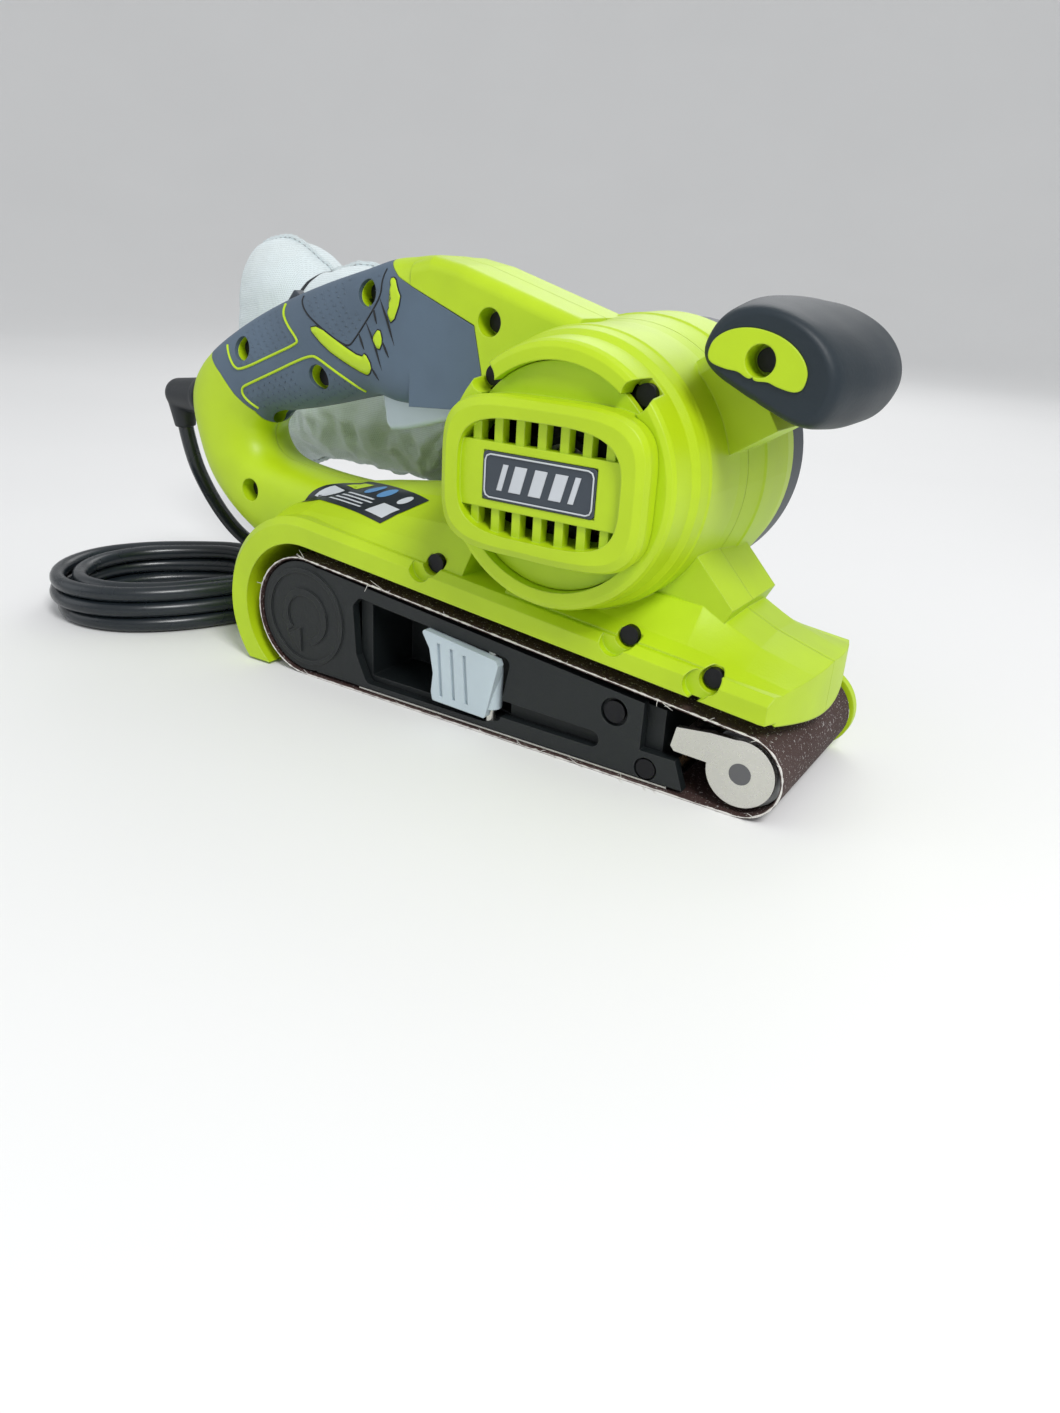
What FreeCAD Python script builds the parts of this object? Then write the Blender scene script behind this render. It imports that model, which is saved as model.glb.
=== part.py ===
"""Handheld belt sander for 76 mm wide belts, built as separate pieces, in millimetres.

Frame: +X runs from the drive roller to the idler roller, +Y is the drive side, where the dust bag
hangs, +Z is up.  The origin lies on the sole plane, under the middle of the belt, half way between
the two roller axes.  Pieces that share a body touch; pieces that move past each other keep a gap.
"""

import FreeCAD, Part

import math
import os
import re

import Sketcher

V = FreeCAD.Vector
ALONG_Y = FreeCAD.Rotation(V(1, 0, 0), -90)
ALONG_X = FreeCAD.Rotation(V(0, 1, 0), 90)
UPRIGHT = FreeCAD.Rotation()

# Driving dimensions: alias, value.  Heights are from the floor, radii are named radius.
SIZES = {
    "belt_width": 76.0,
    "belt_thickness": 1.0,
    "roller_gap": 0.3,
    "roller_spacing": 200.0,
    "drive_radius": 25.0,
    "idler_radius": 14.5,
    "body_gap": 0.3,
    "shaft_clearance": 0.05,
    "guard_gap": 5.8,
    "guard_radius": 43.0,
    "fender_near": 40.0,
    "fender_far": 42.0,
    "fender_chamfer": 3.0,
    "foot_height": 1.0,
    "nose_reach": 15.5,
    "nose_height": 45.0,
    "nose_underside": 37.0,
    "housing_far": 44.0,
    "housing_wall": 3.0,
    "motor_x": 25.0,
    "motor_z": 106.0,
    "barrel_radius": 52.0,
    "rim_radius": 44.5,
    "rim_near": 50.0,
    "cap_opening_radius": 38.0,
    "cap_half_length": 39.0,
    "cap_half_height": 26.5,
    "cap_reach": 10.0,
    "vent_half_length": 31.0,
    "vent_half_height": 19.5,
    "vent_bar": 3.2,
    "plate_length": 43.0,
    "plate_height": 16.0,
    "panel_half_width": 20.5,
    "skin_thickness": 2.0,
    "neck_edge_radius": 5.0,
    "front_grip_x": 90.0,
    "front_grip_z": 148.0,
    "front_grip_long": 26.0,
    "front_grip_short": 15.5,
    "front_grip_half_width": 38.0,
    "front_grip_tilt": 24.0,
    "front_neck_width": 33.0,
    "front_neck_half_depth": 15.0,
    "screw_shank_radius": 1.8,
    "screw_head_radius": 3.6,
    "screw_head_height": 2.4,
    "screw_recess_radius": 5.0,
    "screw_recess_depth": 8.0,
    "cover_far": 60.0,
    "cover_radius": 50.0,
    "cover_rear_radius": 25.3,
    "cover_wall": 2.5,
    "gear_plate_thickness": 3.7,
    "pulley_near": 50.0,
    "pulley_width": 7.0,
    "motor_pulley_radius": 5.1,
    "drive_pulley_radius": 20.4,
    "tooth_belt_thickness": 1.6,
    "motor_shaft_radius": 4.0,
    "drive_shaft_radius": 5.0,
    "bearing_radius": 11.0,
    "bearing_width": 7.0,
    "rotor_radius": 22.0,
    "rotor_length": 34.0,
    "commutator_radius": 12.0,
    "stator_radius": 43.0,
    "air_gap": 0.5,
    "fan_radius": 42.0,
    "roller_near": 32.0,
    "roller_far": 36.0,
    "idler_axle_radius": 4.0,
    "yoke_thickness": 2.5,
    "platen_thickness": 0.8,
    "pad_thickness": 1.8,
    "side_frame_near": 37.0,
    "side_frame_thickness": 4.0,
    "side_frame_radius": 24.2,
    "lever_thickness": 4.0,
    "knob_stem_radius": 3.1,
    "port_radius": 14.0,
    "port_wall": 2.0,
    "port_y": 52.0,
    "port_z": 112.0,
    "bag_gap": 0.5,
    "cord_radius": 3.6,
    "hank_base": 0.4,
    "hank_height": 21.0,
    "hank_thickness": 19.0,
}

doc = FreeCAD.newDocument("belt_sander")
sheet = doc.addObject("Spreadsheet::Sheet", "sizes")
for row, (alias, number) in enumerate(SIZES.items(), start=1):
    sheet.set(f"A{row}", alias)
    sheet.set(f"B{row}", str(number))
    sheet.setAlias(f"B{row}", alias)
doc.recompute()

NODES = []


def size(expression):
    """Number that an expression over the sheet's aliases gives."""
    return float(sheet.evalExpression(expression))


def sheet_words(expression):
    """The same expression as another object writes it, with the sheet named before each alias."""
    def named(match):
        word = match.group(0)
        return "sizes." + word if word in SIZES else word

    return re.sub(r"[a-z_]+", named, str(expression))


def bind(thing, prop, expression):
    """Ties one property of a document object to the sheet."""
    thing.setExpression(prop, sheet_words(expression))


# Shared places, as expressions over the sheet.
DRIVE_X = "(-roller_spacing / 2)"
IDLER_X = "(roller_spacing / 2)"
DRIVE_Z = "(belt_thickness + roller_gap + drive_radius)"
IDLER_Z = "(belt_thickness + roller_gap + idler_radius)"
KNOB_AT = ("52", "17")
DRIVE_AT = (DRIVE_X, DRIVE_Z)
IDLER_AT = (IDLER_X, IDLER_Z)
MOTOR_AT = ("motor_x", "motor_z")
BELT_REAR = "(drive_radius + roller_gap + belt_thickness)"
BELT_FRONT = "(idler_radius + roller_gap + belt_thickness)"


def point_at(place, y):
    """3-D point on an axis parallel to Y, the place being a pair of expressions."""
    return V(size(place[0]), y, size(place[1]))


def node(thing, label):
    """Names a finished sub-part; the label is also its file's name."""
    thing.Label = label
    NODES.append(thing)
    return thing


def shaped(label, shape):
    """Sub-part whose shape is worked out by Part's own functions from the sheet's sizes."""
    thing = doc.addObject("Part::Feature", label)
    thing.Shape = shape
    return node(thing, label)


# ---------------------------------------------------------------- bound primitives

def cylinder(name, radius, length, x, y, z, rotation=ALONG_Y):
    """Part cylinder bound to the sheet; it starts at the given place and runs along its axis."""
    thing = doc.addObject("Part::Cylinder", name)
    thing.Placement = FreeCAD.Placement(V(), rotation)
    bind(thing, "Radius", radius)
    bind(thing, "Height", length)
    for axis, expression in zip("xyz", (x, y, z)):
        bind(thing, f".Placement.Base.{axis}", expression)
    return thing


def box(name, length, width, height, x, y, z):
    """Part box bound to the sheet; the place is its lowest corner."""
    thing = doc.addObject("Part::Box", name)
    for prop, expression in zip(("Length", "Width", "Height"), (length, width, height)):
        bind(thing, prop, expression)
    for axis, expression in zip("xyz", (x, y, z)):
        bind(thing, f".Placement.Base.{axis}", expression)
    return thing


def cut(name, base, tool):
    """Base less tool."""
    thing = doc.addObject("Part::Cut", name)
    thing.Base = base
    thing.Tool = tool
    return thing


def joined(name, pieces):
    """Union of several objects."""
    thing = doc.addObject("Part::MultiFuse", name)
    thing.Shapes = pieces
    return thing


def grouped(name, pieces):
    """Several separate solids kept in one node."""
    thing = doc.addObject("Part::Compound", name)
    thing.Links = pieces
    return thing


def ring(label, outer, inner, y, width, place):
    """Tube about an axis parallel to Y, from y over its width."""
    outside = cylinder(label + "_outside", outer, width, place[0], y, place[1])
    inside = cylinder(label + "_inside", inner, f"{width} + 2", place[0], f"{y} - 1", place[1])
    return cut(label + "_ring", outside, inside)


# ---------------------------------------------------------------- bound bodies

def new_body(name):
    return doc.addObject("PartDesign::Body", name)


def new_sketch(body, name, plane):
    """Empty sketch on one of the body's own origin planes."""
    sketch = body.newObject("Sketcher::SketchObject", name)
    origin = next(f for f in body.Origin.OriginFeatures if f.Role == plane)
    sketch.AttachmentSupport = [(origin, "")]
    sketch.MapMode = "FlatFace"
    return sketch


def hold(sketch, geometry, corner, place):
    """Holds one vertex of a sketch at a pair of expressions."""
    for kind, expression in zip(("DistanceX", "DistanceY"), place):
        number = size(expression)
        index = sketch.addConstraint(Sketcher.Constraint(kind, -1, 1, geometry, corner, number))
        bind(sketch, f"Constraints[{index}]", expression)


def outline(sketch, corners):
    """Closed polygon, each corner a pair of expressions."""
    points = [V(size(x), size(y), 0) for x, y in corners]
    count = len(points)
    first = sketch.GeometryCount
    for index in range(count):
        sketch.addGeometry(Part.LineSegment(points[index], points[(index + 1) % count]))
    for index in range(count):
        after = first + (index + 1) % count
        sketch.addConstraint(Sketcher.Constraint("Coincident", first + index, 2, after, 1))
    for index in range(count):
        hold(sketch, first + index, 1, corners[index])


def circle(sketch, radius, place):
    """Full circle about a pair of expressions."""
    centre = V(size(place[0]), size(place[1]), 0)
    index = sketch.addGeometry(Part.Circle(centre, V(0, 0, 1), size(radius)))
    hold(sketch, index, 3, place)
    dimension = sketch.addConstraint(Sketcher.Constraint("Radius", index, size(radius)))
    bind(sketch, f"Constraints[{dimension}]", radius)


def tangent_directions(one, one_radius, two, two_radius):
    """Directions, in the XZ plane, of the normals at the two outer tangent lines."""
    along = math.atan2(two[1] - one[1], two[0] - one[0])
    lean = math.acos((one_radius - two_radius) / math.dist(one, two))
    return along, along + lean, along - lean


def polar(centre, radius, angle):
    return centre[0] + radius * math.cos(angle), centre[1] + radius * math.sin(angle)


def wrap(sketch, place_one, radius_one, place_two, radius_two):
    """Outline round two circles: two arcs joined by their outer tangent lines."""
    one = [size(expression) for expression in place_one]
    two = [size(expression) for expression in place_two]
    first_radius, second_radius = size(radius_one), size(radius_two)
    along, upper, lower = tangent_directions(one, first_radius, two, second_radius)
    arcs = []
    for centre, radius, start, end in (
        (one, first_radius, upper, lower + 2 * math.pi),
        (two, second_radius, lower, upper),
    ):
        round_edge = Part.Circle(V(centre[0], centre[1], 0), V(0, 0, 1), radius)
        arcs.append(sketch.addGeometry(Part.ArcOfCircle(round_edge, start, end)))
    lines = []
    for angle in (upper, lower):
        from_point = V(*polar(one, first_radius, angle), 0)
        to_point = V(*polar(two, second_radius, angle), 0)
        lines.append(sketch.addGeometry(Part.LineSegment(from_point, to_point)))
    tangencies = (
        (arcs[0], 1, lines[0], 1),
        (arcs[1], 2, lines[0], 2),
        (arcs[0], 2, lines[1], 1),
        (arcs[1], 1, lines[1], 2),
    )
    for tangency in tangencies:
        sketch.addConstraint(Sketcher.Constraint("Tangent", *tangency))
    for arc, place, radius in ((arcs[0], place_one, radius_one), (arcs[1], place_two, radius_two)):
        hold(sketch, arc, 3, place)
        dimension = sketch.addConstraint(Sketcher.Constraint("Radius", arc, size(radius)))
        bind(sketch, f"Constraints[{dimension}]", radius)


def pad(body, sketch, length):
    """Pad to both sides of the sketch's plane."""
    feature = body.newObject("PartDesign::Pad", sketch.Name + "_pad")
    feature.Profile = sketch
    feature.Midplane = True
    bind(feature, "Length", length)
    sketch.Visibility = False
    return feature


def pocket(body, sketch, length):
    """Pocket to both sides of the sketch's plane, so it cannot point away from the solid."""
    feature = body.newObject("PartDesign::Pocket", sketch.Name + "_pocket")
    feature.Profile = sketch
    feature.Midplane = True
    bind(feature, "Length", length)
    sketch.Visibility = False
    return feature


def plate(label, draw, low, high, draw_holes=None):
    """Plate in the XZ plane between two Y places, with optional holes right through it."""
    body = new_body(label)
    sketch = new_sketch(body, label + "_outline", "XZ_Plane")
    draw(sketch)
    pad(body, sketch, f"({high}) - ({low})")
    if draw_holes:
        holes = new_sketch(body, label + "_holes", "XZ_Plane")
        draw_holes(holes)
        pocket(body, holes, f"({high}) - ({low}) + 2")
    bind(body, ".Placement.Base.y", f"(({high}) + ({low})) / 2")
    return body


def turned(label, profile, place):
    """Body turned about an axis parallel to Y; the profile is a list of (radius, y) expressions."""
    body = new_body(label)
    sketch = new_sketch(body, label + "_profile", "XY_Plane")
    outline(sketch, profile)
    feature = body.newObject("PartDesign::Revolution", label + "_turn")
    feature.Profile = sketch
    feature.ReferenceAxis = (sketch, ["V_Axis"])
    feature.Angle = 360
    sketch.Visibility = False
    bind(body, ".Placement.Base.x", place[0])
    bind(body, ".Placement.Base.z", place[1])
    return body


def round_edges(body, label, radius, chosen):
    """Fillet of the body's edges that a test on an edge accepts."""
    doc.recompute()
    tip = body.Tip
    names = [f"Edge{i}" for i, edge in enumerate(tip.Shape.Edges, start=1) if chosen(edge)]
    feature = body.newObject("PartDesign::Fillet", label + "_fillet")
    feature.Base = (tip, names)
    bind(feature, "Radius", radius)
    return feature


def runs_along_y(edge):
    """True for a straight edge parallel to Y."""
    if len(edge.Vertexes) < 2:
        return False
    step = edge.Vertexes[1].Point - edge.Vertexes[0].Point
    return abs(step.x) < 0.01 and abs(step.z) < 0.01


# ---------------------------------------------------------------- shapes from Part functions

def wrap_wire(place_one, radius_one, place_two, radius_two, y):
    """The wrap outline as a plain wire at one Y."""
    one = [size(expression) for expression in place_one]
    two = [size(expression) for expression in place_two]
    along, upper, lower = tangent_directions(one, radius_one, two, radius_two)

    def at(centre, radius, angle):
        x, z = polar(centre, radius, angle)
        return V(x, y, z)

    corners = [
        at(one, radius_one, lower),
        at(one, radius_one, along + math.pi),
        at(one, radius_one, upper),
        at(two, radius_two, upper),
        at(two, radius_two, along),
        at(two, radius_two, lower),
    ]
    return Part.Wire([
        Part.Arc(corners[0], corners[1], corners[2]).toShape(),
        Part.LineSegment(corners[2], corners[3]).toShape(),
        Part.Arc(corners[3], corners[4], corners[5]).toShape(),
        Part.LineSegment(corners[5], corners[0]).toShape(),
    ])


def slab(wire, depth):
    """Solid from a closed wire in an XZ plane, extruded along +Y."""
    return Part.Face(wire).extrude(V(0, depth, 0))


def polygon_slab(corners, low, high):
    """Slab between two Y places from a list of (x, z) numbers."""
    points = [V(x, low, z) for x, z in corners]
    return slab(Part.makePolygon(points + points[:1]), high - low)


def y_cylinder(place, radius, low, high):
    """Plain solid cylinder about an axis parallel to Y."""
    return Part.makeCylinder(radius, high - low, point_at(place, low), V(0, 1, 0))


def revolved(place, profile):
    """Solid turned about an axis parallel to Y from (radius, y) numbers."""
    centre = point_at(place, 0)
    points = [V(centre.x + radius, y, centre.z) for radius, y in profile]
    face = Part.Face(Part.makePolygon(points + points[:1]))
    return face.revolve(centre, V(0, 1, 0), 360)


def superellipse(centre, up, across, exponent, count=28):
    """Closed ring of points: a rounded section with two half axes given as vectors."""
    points = []
    for index in range(count + 1):
        angle = 2 * math.pi * index / count + math.pi
        cosine, sine = math.cos(angle), math.sin(angle)
        far_up = math.copysign(abs(cosine) ** (2 / exponent), cosine)
        far_across = math.copysign(abs(sine) ** (2 / exponent), sine)
        points.append(centre + up * far_up + across * far_across)
    points[-1] = V(points[0])
    return points


def skinned(sections):
    """Solid with one smooth skin through rings of points, closed by flat ends."""
    surface = Part.BSplineSurface()
    surface.interpolate(sections)
    first, last = surface.bounds()[:2]
    ends = [Part.Face(Part.Wire(surface.uIso(at).toShape())) for at in (first, last)]
    shell = Part.Shell([surface.toShape()] + ends)
    shell.sewShape()
    solid = Part.Solid(Part.Shell(shell.Faces))
    if solid.Volume < 0:
        solid.reverse()
    return solid


def loft(wires, ruled=False):
    return Part.makeLoft(wires, True, ruled)


def refined(shape):
    return shape.removeSplitter()


# ---------------------------------------------------------------- housing halves

# Screw places (x, z), the Y of the face they start from, and whether they pass the soft skin.
HOUSING_SCREWS = [
    (-152.0, 130.0, -17.0),
    (-108.0, 123.0, -18.0),
    (-80.0, 157.0, -18.0),
    (-22.0, 151.0, -20.5),
    (-150.0, 70.0, -18.0),
    (-33.0, 63.0, -40.0),
    (52.0, 54.0, -40.0),
    (85.0, 46.5, -40.0),
]
LUG_SCREWS = [(-4.0, 136.0, -50.0), (53.0, 136.0, -50.0)]

# Handle stations: outer point, inner point (x, z), half width and squareness of the section.
HANDLE_STATIONS = [
    ((-50.0, 171.4), (-50.0, 119.5), 20.5, 5.0),
    ((-70.0, 170.2), (-70.0, 117.0), 20.3, 4.6),
    ((-84.0, 166.8), (-80.0, 118.0), 19.4, 3.6),
    ((-104.0, 161.3), (-94.0, 115.6), 18.4, 3.0),
    ((-126.0, 154.2), (-112.0, 110.8), 18.0, 2.7),
    ((-148.0, 145.2), (-130.0, 106.6), 17.6, 2.6),
    ((-170.0, 133.6), (-142.0, 103.8), 17.2, 2.6),
    ((-186.0, 121.8), (-147.5, 99.5), 17.0, 2.6),
    ((-194.0, 107.0), (-150.5, 94.5), 17.0, 2.6),
    ((-190.5, 88.0), (-149.5, 88.5), 17.2, 2.7),
    ((-182.0, 70.0), (-143.5, 83.5), 17.6, 2.8),
    ((-163.0, 53.0), (-131.0, 81.2), 18.0, 3.0),
    ((-138.0, 42.0), (-114.0, 79.6), 18.5, 3.2),
    ((-112.0, 38.0), (-96.0, 79.0), 19.0, 3.4),
]

# Upper body sections, behind and ahead of the barrel: x, then (y, z) from the near edge to the middle.
REAR_SECTIONS = [
    (-140.0, [(-34, 36), (-31, 38), (-24, 40), (-12, 42), (0, 43)]),
    (-133.0, [(-36, 52), (-31, 54), (-24, 56), (-12, 58), (0, 59)]),
    (-122.0, [(-36, 62), (-31, 65), (-24, 67.5), (-12, 70.5), (0, 72)]),
    (-105.0, [(-36, 68), (-31, 70.5), (-24, 73), (-12, 76.5), (0, 78.5)]),
    (-80.0, [(-36, 67), (-31, 70.5), (-24, 74.5), (-12, 80), (0, 83)]),
    (-55.0, [(-36, 64.5), (-31, 69.5), (-24, 75.5), (-12, 82.5), (0, 86.5)]),
    (-20.0, [(-36, 60.5), (-31, 67), (-24, 76), (-12, 85), (0, 89)]),
]
FRONT_SECTIONS = [
    (0.0, [(-36, 59.0), (-31, 63), (-25, 72), (0, 74)]),
    (45.0, [(-36, 54.0), (-31, 57.5), (-23, 67.5), (0, 69.5)]),
    (72.0, [(-36, 51.0), (-31, 54), (-20, 65.5), (0, 67.0)]),
    (94.0, [(-36, 48.0), (-31, 50.5), (-18, 55.0), (0, 57.0)]),
    (122.0, [(-36, 44.2), (-31, 45), (-16, 46.5), (0, 48.5)]),
]


def body_section(x, half, base):
    """Closed section across the body: the near half given, the far half its mirror image."""
    middle_shift = size("(fender_far - fender_near) / 2")
    near = [(y, z) for y, z in half]
    far = [(-y, z) for y, z in reversed(half) if y != 0]
    ring_points = [(near[0][0], base)] + near + far + [(far[-1][0], base)]
    points = [V(x, y + middle_shift, z) for y, z in ring_points]
    return Part.makePolygon(points + points[:1])


def upper_body():
    """Hump under the handle, and the sloping front from the barrel to the nose."""
    base = 30.0
    rear = loft([body_section(x, half, base) for x, half in REAR_SECTIONS], ruled=True)
    front = loft([body_section(x, half, base) for x, half in FRONT_SECTIONS], ruled=True)
    return rear.fuse(front)


def guard_outline():
    """Side outline of the belt guard: rear arc, top line down to the nose, and the rear foot."""
    centre_x = size(DRIVE_X) - 1
    centre_z = size(DRIVE_Z)
    radius = size("guard_radius")
    foot = size("foot_height")
    nose_x = size(IDLER_X + " + nose_reach + 6")
    slope = math.atan2(size("nose_height") - centre_z - radius, nose_x - centre_x)
    touch = (centre_x - radius * math.sin(slope), centre_z + radius * math.cos(slope))
    foot_x = centre_x - math.sqrt(radius ** 2 - (centre_z - foot) ** 2)
    y = -size("fender_near")

    def at(x, z):
        return V(x, y, z)

    arc = Part.Arc(at(foot_x, foot), at(centre_x - radius, centre_z), at(*touch)).toShape()
    corners = [
        at(*touch),
        at(nose_x, size("nose_height")),
        at(nose_x, size("nose_underside")),
        at(60, size("nose_underside")),
        at(-60, 20),
        at(-100, foot),
        at(foot_x, foot),
    ]
    lines = [
        Part.LineSegment(one, two).toShape() for one, two in zip(corners, corners[1:])
    ]
    return Part.Wire([arc] + lines)


def guard_body():
    """Fender over the belt with both of its long top edges chamfered."""
    solid = slab(guard_outline(), size("fender_near + fender_far"))
    top_edges = []
    for edge in solid.Edges:
        middle = edge.CenterOfMass
        on_side = abs(middle.y + size("fender_near")) < 0.01 or abs(middle.y - size("fender_far")) < 0.01
        if on_side and (middle.z > 45 or middle.x < -125):
            top_edges.append(edge)
    return solid.makeChamfer(size("fender_chamfer"), top_edges)


def plan_limit():
    """Block whose bowed front trims the nose, seen from above."""
    near = -size("fender_near") - 1
    far = size("housing_far") + 1
    reach = size(IDLER_X + " + nose_reach")
    start = V(reach - 9.2, near, -5)
    finish = V(reach - 7.5, far, -5)
    edges = [
        Part.Arc(start, V(reach, 4, -5), finish).toShape(),
        Part.LineSegment(finish, V(-220, far, -5)).toShape(),
        Part.LineSegment(V(-220, far, -5), V(-220, near, -5)).toShape(),
        Part.LineSegment(V(-220, near, -5), start).toShape(),
    ]
    return Part.Face(Part.Wire(edges)).extrude(V(0, 0, 250))


def far_guard():
    """Plate on the drive side that covers the belt's far edge round the idler roller."""
    low = size("fender_far - 1.7")
    rear_radius = size(BELT_REAR + " + guard_gap + 2")
    wire = wrap_wire(DRIVE_AT, rear_radius, IDLER_AT, size(BELT_FRONT + " + 1.2"), low)
    plate_solid = slab(wire, size("housing_far") - low)
    above_floor = Part.makeBox(400, 100, 100, V(-200, 0, size("foot_height")))
    return plate_solid.common(above_floor)


def barrel():
    """Motor barrel with its stepped near rim."""
    radius = size("barrel_radius")
    rim = size("rim_radius")
    near = -size("rim_near")
    far = size("housing_far")
    profile = [
        (0, near), (rim - 2.5, near), (rim - 0.8, near + 0.8), (rim, near + 2.6),
        (rim + 0.8, near + 12), (rim + 2.6, near + 15), (rim + 3.4, near + 20),
        (rim + 3.9, near + 21), (radius - 3.2, near + 44), (radius - 1, near + 62),
        (radius - 0.4, near + 63), (radius, near + 84), (radius - 1.5, far), (0, far),
    ]
    return revolved(MOTOR_AT, profile)


def smooth_rows(rows):
    """Function that gives the smooth value between rows of numbers, by row number."""
    curves = []
    for column in zip(*rows):
        curve = Part.BSplineCurve()
        points = [V(float(index), number, 0) for index, number in enumerate(column)]
        curve.interpolate(Points=points, Parameters=[float(i) for i in range(len(points))])
        curves.append(curve)
    return lambda at: [curve.value(at).y for curve in curves]


def handle_section(numbers, inset):
    """One rounded section of the rear handle from smoothed station numbers."""
    outer_x, outer_z, inner_x, inner_z, half_width, squareness = numbers
    middle = V((outer_x + inner_x) / 2, 0, (outer_z + inner_z) / 2)
    up = V(outer_x - inner_x, 0, outer_z - inner_z) / 2
    reach = up.Length - inset
    up.normalize()
    return superellipse(middle, up * reach, V(0, half_width - inset, 0), squareness)


def handle_loop(inset):
    """D-shaped rear handle through its stations; the inset shrinks every section."""
    rows = [(*outer, *inner, half, square) for outer, inner, half, square in HANDLE_STATIONS]
    section_at = smooth_rows(rows)
    steps = range(2 * len(rows) - 1)
    return skinned([handle_section(section_at(step / 2), inset) for step in steps])


def neck_block(inset):
    """Flat-topped neck that carries the handle into the barrel."""
    half = size("panel_half_width") - inset
    corners = [
        (-58, 169.4 - inset), (-49.6, 171.65 - inset), (-36, 169.3 - inset), (14, 155.0 - inset),
        (20, 120), (-28, 119.5 + inset), (-58, 117.5 + inset),
    ]
    solid = polygon_slab(corners, -half, half)
    top = [e for e in solid.Edges if e.CenterOfMass.z > 155 and abs(abs(e.CenterOfMass.y) - half) < 0.01
           and abs(e.CenterOfMass.x + 58) > 0.5]
    return solid.makeFillet(size("neck_edge_radius"), top)


def handle_body(inset):
    return handle_loop(inset).fuse(neck_block(inset))


def skin_zone(shrink):
    """Side region of the rear handle that the soft skin covers."""
    corners = [
        (-186, 190), (-178 + shrink, 127), (-166 + shrink, 118.5), (-158 + shrink, 110.5),
        (-150 + shrink, 104), (-147.5 + shrink, 95), (-60, 95), (-27 - shrink, 100),
        (-24.5 - shrink, 133), (-28.5 - shrink, 149.5 - shrink), (-54, 159.5 - shrink),
        (-64 - shrink, 163.5), (-71 - shrink, 169), (-76 - shrink, 190),
    ]
    return polygon_slab(corners, -60, 60)


def front_neck(length, shrink=0.0):
    """Chamfered block from the barrel towards the front handle."""
    width = size("front_neck_width") / 2 + shrink
    depth = size("front_neck_half_depth") + shrink
    block = Part.makeBox(length, 2 * depth, 2 * width, V(30, -depth, -width))
    upper = [e for e in block.Edges if abs(e.CenterOfMass.z - width) < 0.01 and abs(e.CenterOfMass.y) > 1]
    block = block.makeChamfer(5, upper)
    centre = point_at(MOTOR_AT, 0)
    angle = math.degrees(math.atan2(size("front_grip_z") - centre.z, size("front_grip_x") - centre.x))
    block.Placement = FreeCAD.Placement(centre, FreeCAD.Rotation(V(0, 1, 0), -angle))
    return block


def front_rib():
    """Strut from the barrel down to the sloping front."""
    corners = [(40, 95), (62, 88), (83, 66), (80, 60), (50, 60)]
    block = polygon_slab(corners, -19, 23)
    return block


def motor_room():
    """Hollow of the barrel: the motor, the fan and the bearing bosses sit in it."""
    wall = size("housing_wall")
    near = -size("rim_near")
    far = size("housing_far")
    rim = size("rim_radius") - wall
    room = size("barrel_radius") - wall - 2.5
    profile = [
        (0, near - 1), (size("cap_opening_radius"), near - 1), (size("cap_opening_radius"), near + 8),
        (rim - 1, near + 9), (rim, near + 22), (room - 1.5, near + 46), (room, near + 60),
        (room, far - wall), (14, far - wall), (14, far + 1), (0, far + 1),
    ]
    return revolved(MOTOR_AT, profile)


def screw_tools(places, depth):
    """Recess and shank hole for each housing screw, as one cutting shape."""
    tools = []
    for x, z, face in places:
        place = (str(x), str(z))
        on_fender = face == -size("fender_near")
        recess_radius = size("screw_recess_radius") - (0.6 if on_fender else 0)
        tools.append(y_cylinder(place, recess_radius, face - 12, face + depth))
        if on_fender:
            lobe = (str(x - 3.8), str(z - 2.0))
            tools.append(y_cylinder(lobe, size("screw_recess_radius") + 0.2, face - 12, face + 3.2))
        tools.append(y_cylinder(place, size("screw_shank_radius") + 0.15, face, 14))
    return tools


def handle_rooms():
    """Hollows in the rear handle for the switch, the trigger, the lock button and the cord entry."""
    switch = Part.makeBox(52, 25, 27, V(-90, -12.5, 127.5))
    trigger = Part.makeBox(44, 17, 31, V(-84.5, -8.5, 100))
    lock = Part.makeBox(14.5, 13.2, 13, V(-147.1, -0.2, 140))
    wires = Part.makeBox(44, 12, 12, V(-131, -6, 128))
    entry = Part.makeCylinder(5.8, 60, V(-198, 0, 104), V(1, 0, 0))
    clamp = Part.makeBox(18, 16, 14, V(-184, -8, 97))
    return [switch, trigger, lock, wires, entry, clamp]


def port_clearance():
    place = V(-86, size("port_y"), size("port_z"))
    return Part.makeCylinder(size("port_radius + body_gap"), 66, place, V(1, 0, 0))


def side_room():
    """Hollow in the hump under the handle, so the shell has a wall of its own."""
    corners = [(-112, 62), (-100, 66), (-30, 74), (-32, 60), (-60, 60), (-100, 62)]
    return polygon_slab(corners, -24, 26)


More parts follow.
